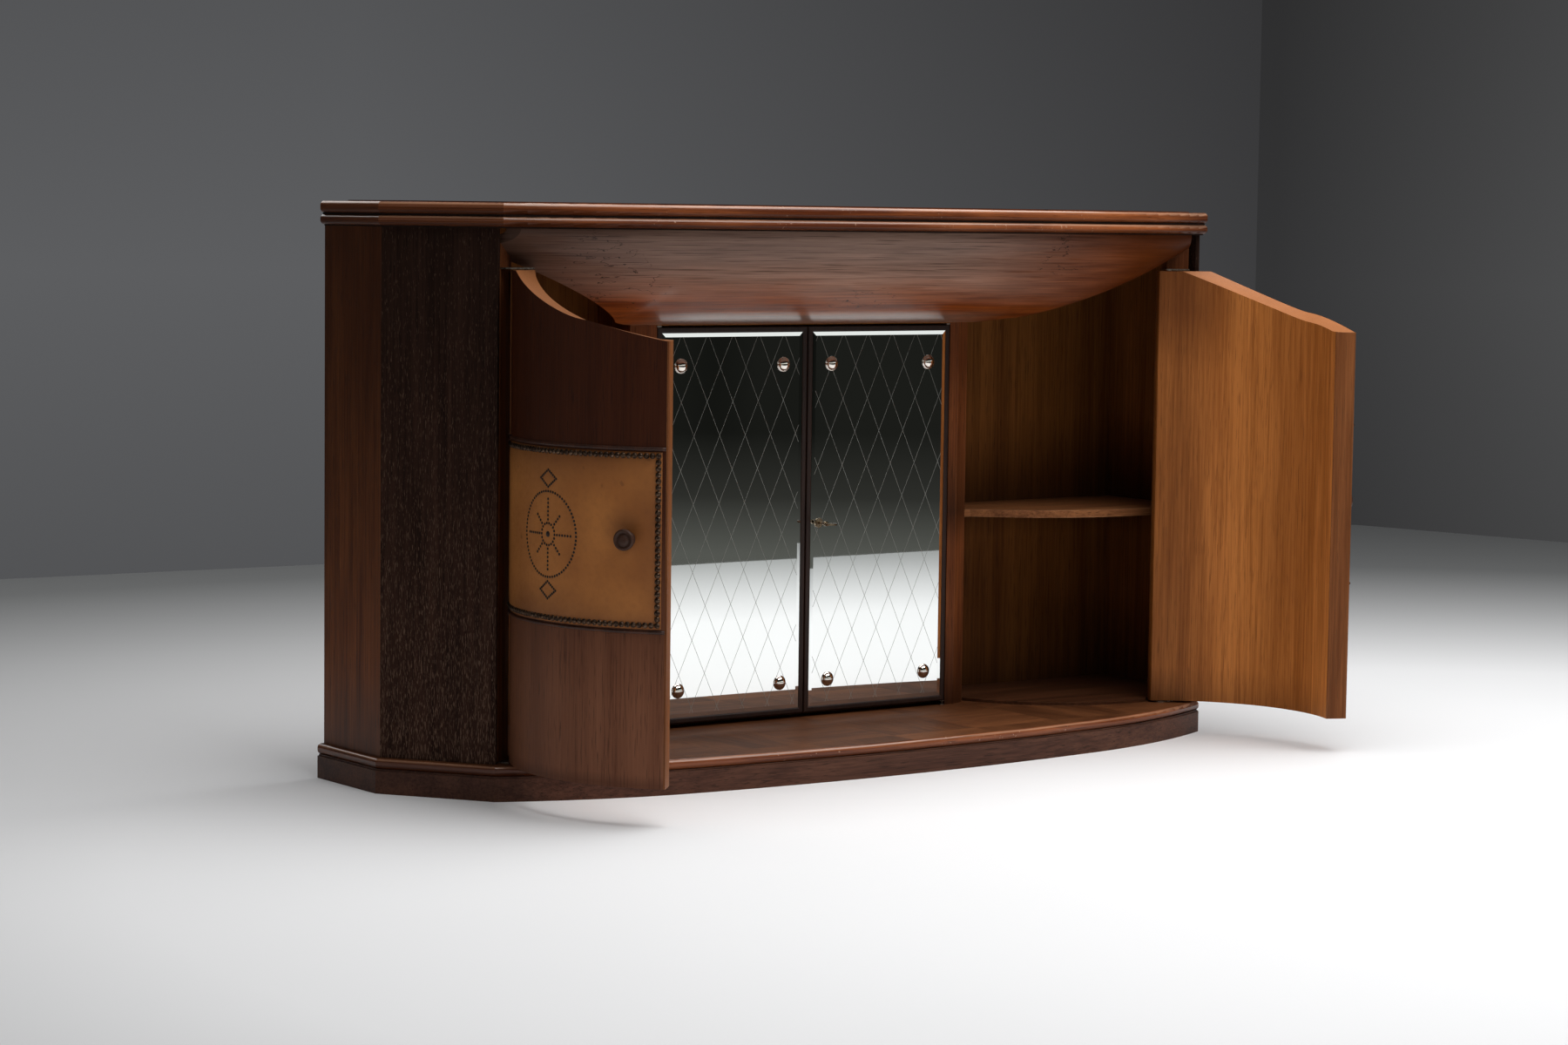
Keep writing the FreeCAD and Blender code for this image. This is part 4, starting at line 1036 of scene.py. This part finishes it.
def stage_world():
    """Grey walls above the floor's edge for the camera, a dark room in reflections, a soft even light."""
    world = bpy.data.worlds.new("studio")
    bpy.context.scene.world = world
    world.use_nodes = True
    world.node_tree.nodes.clear()
    tree = Tree(world.node_tree, "Generated")
    ahead = tree.dot(tree.place, (math.sin(camera_yaw), math.cos(camera_yaw), 0.0))
    beside = tree.dot(tree.place, (math.cos(camera_yaw), -math.sin(camera_yaw), 0.0))
    rise = tree.separate(tree.place)["Z"]

    left = tree.mix(tree.ramp(beside, -0.12, 0.13), (0.108, 0.11, 0.115), (0.046, 0.046, 0.048))
    right = tree.mix(tree.ramp(beside, 0.135, 0.215), (0.034, 0.034, 0.035), (0.07, 0.0705, 0.072))
    past_corner = tree.minus(beside, tree.times(ahead, room_corner))
    wall = tree.mix(tree.math("GREATER_THAN", past_corner, 0.0), left, right)
    off = tree.absolute(tree.plus(rise, 0.017))
    wall = tree.tint(wall, tree.ramp(off, 0.0, 0.09), 0.22, (0.0, 0.0, 0.0))
    seen = tree.mix(tree.ramp(rise, *floor_line), wall, (0.86, 0.86, 0.865))

    shapes = tree.noise((16.0, 16.0, 5.0), detail=2.0, roughness=0.5)
    room = tree.mix(tree.ramp(shapes, 0.4, 0.62), (0.0042, 0.0045, 0.0037), (0.0125, 0.013, 0.011))
    room = tree.mix(tree.ramp(rise, *dim_floor), room, (0.03, 0.0305, 0.0268))
    room = tree.mix(tree.ramp(rise, *grey_floor), room, (0.1, 0.103, 0.092))
    window = tree.times(tree.ramp(rise, *window_foot), tree.ramp(rise, *window_head))
    window = tree.times(window, tree.ramp(ahead, 0.15, -0.05))
    room = tree.mix(window, room, (0.9, 0.92, 0.9))
    room = tree.mix(tree.ramp(ahead, 0.3, 0.6), room, tree.scaled(wall, 0.45))

    rays = tree.node("ShaderNodeLightPath")
    glossy = tree.maximum(rays["Is Glossy Ray"], rays["Is Transmission Ray"])
    shown = tree.maximum(rays["Is Camera Ray"], glossy)
    plain = tree.node("ShaderNodeBackground", {"Color": (0.95, 0.97, 1.0), "Strength": 0.09})[0]
    view = tree.node("ShaderNodeBackground", {"Color": tree.mix(glossy, seen, room)})[0]
    chosen = tree.node("ShaderNodeMixShader", {0: shown, 1: plain, 2: view})[0]
    tree.node("ShaderNodeOutputWorld", {"Surface": chosen})


def stage_camera():
    forward = Vector((math.sin(camera_yaw) * math.cos(camera_pitch),
                      math.cos(camera_yaw) * math.cos(camera_pitch), -math.sin(camera_pitch)))
    right = Vector((math.cos(camera_yaw), -math.sin(camera_yaw), 0))
    above = right.cross(forward)
    tilted = right * math.cos(camera_roll) + above * math.sin(camera_roll)
    upright = above * math.cos(camera_roll) - right * math.sin(camera_roll)
    data = bpy.data.cameras.new("camera")
    data.lens = camera_lens
    data.sensor_width = camera_sensor
    made = linked("camera", data)
    turn = Matrix((tilted, upright, -forward)).transposed().to_4x4()
    made.matrix_world = Matrix.Translation(camera_place) @ turn
    bpy.context.scene.camera = made


stage_floor()
stage_lights()
stage_world()
stage_camera()
bpy.context.scene.view_settings.view_transform = "Standard"
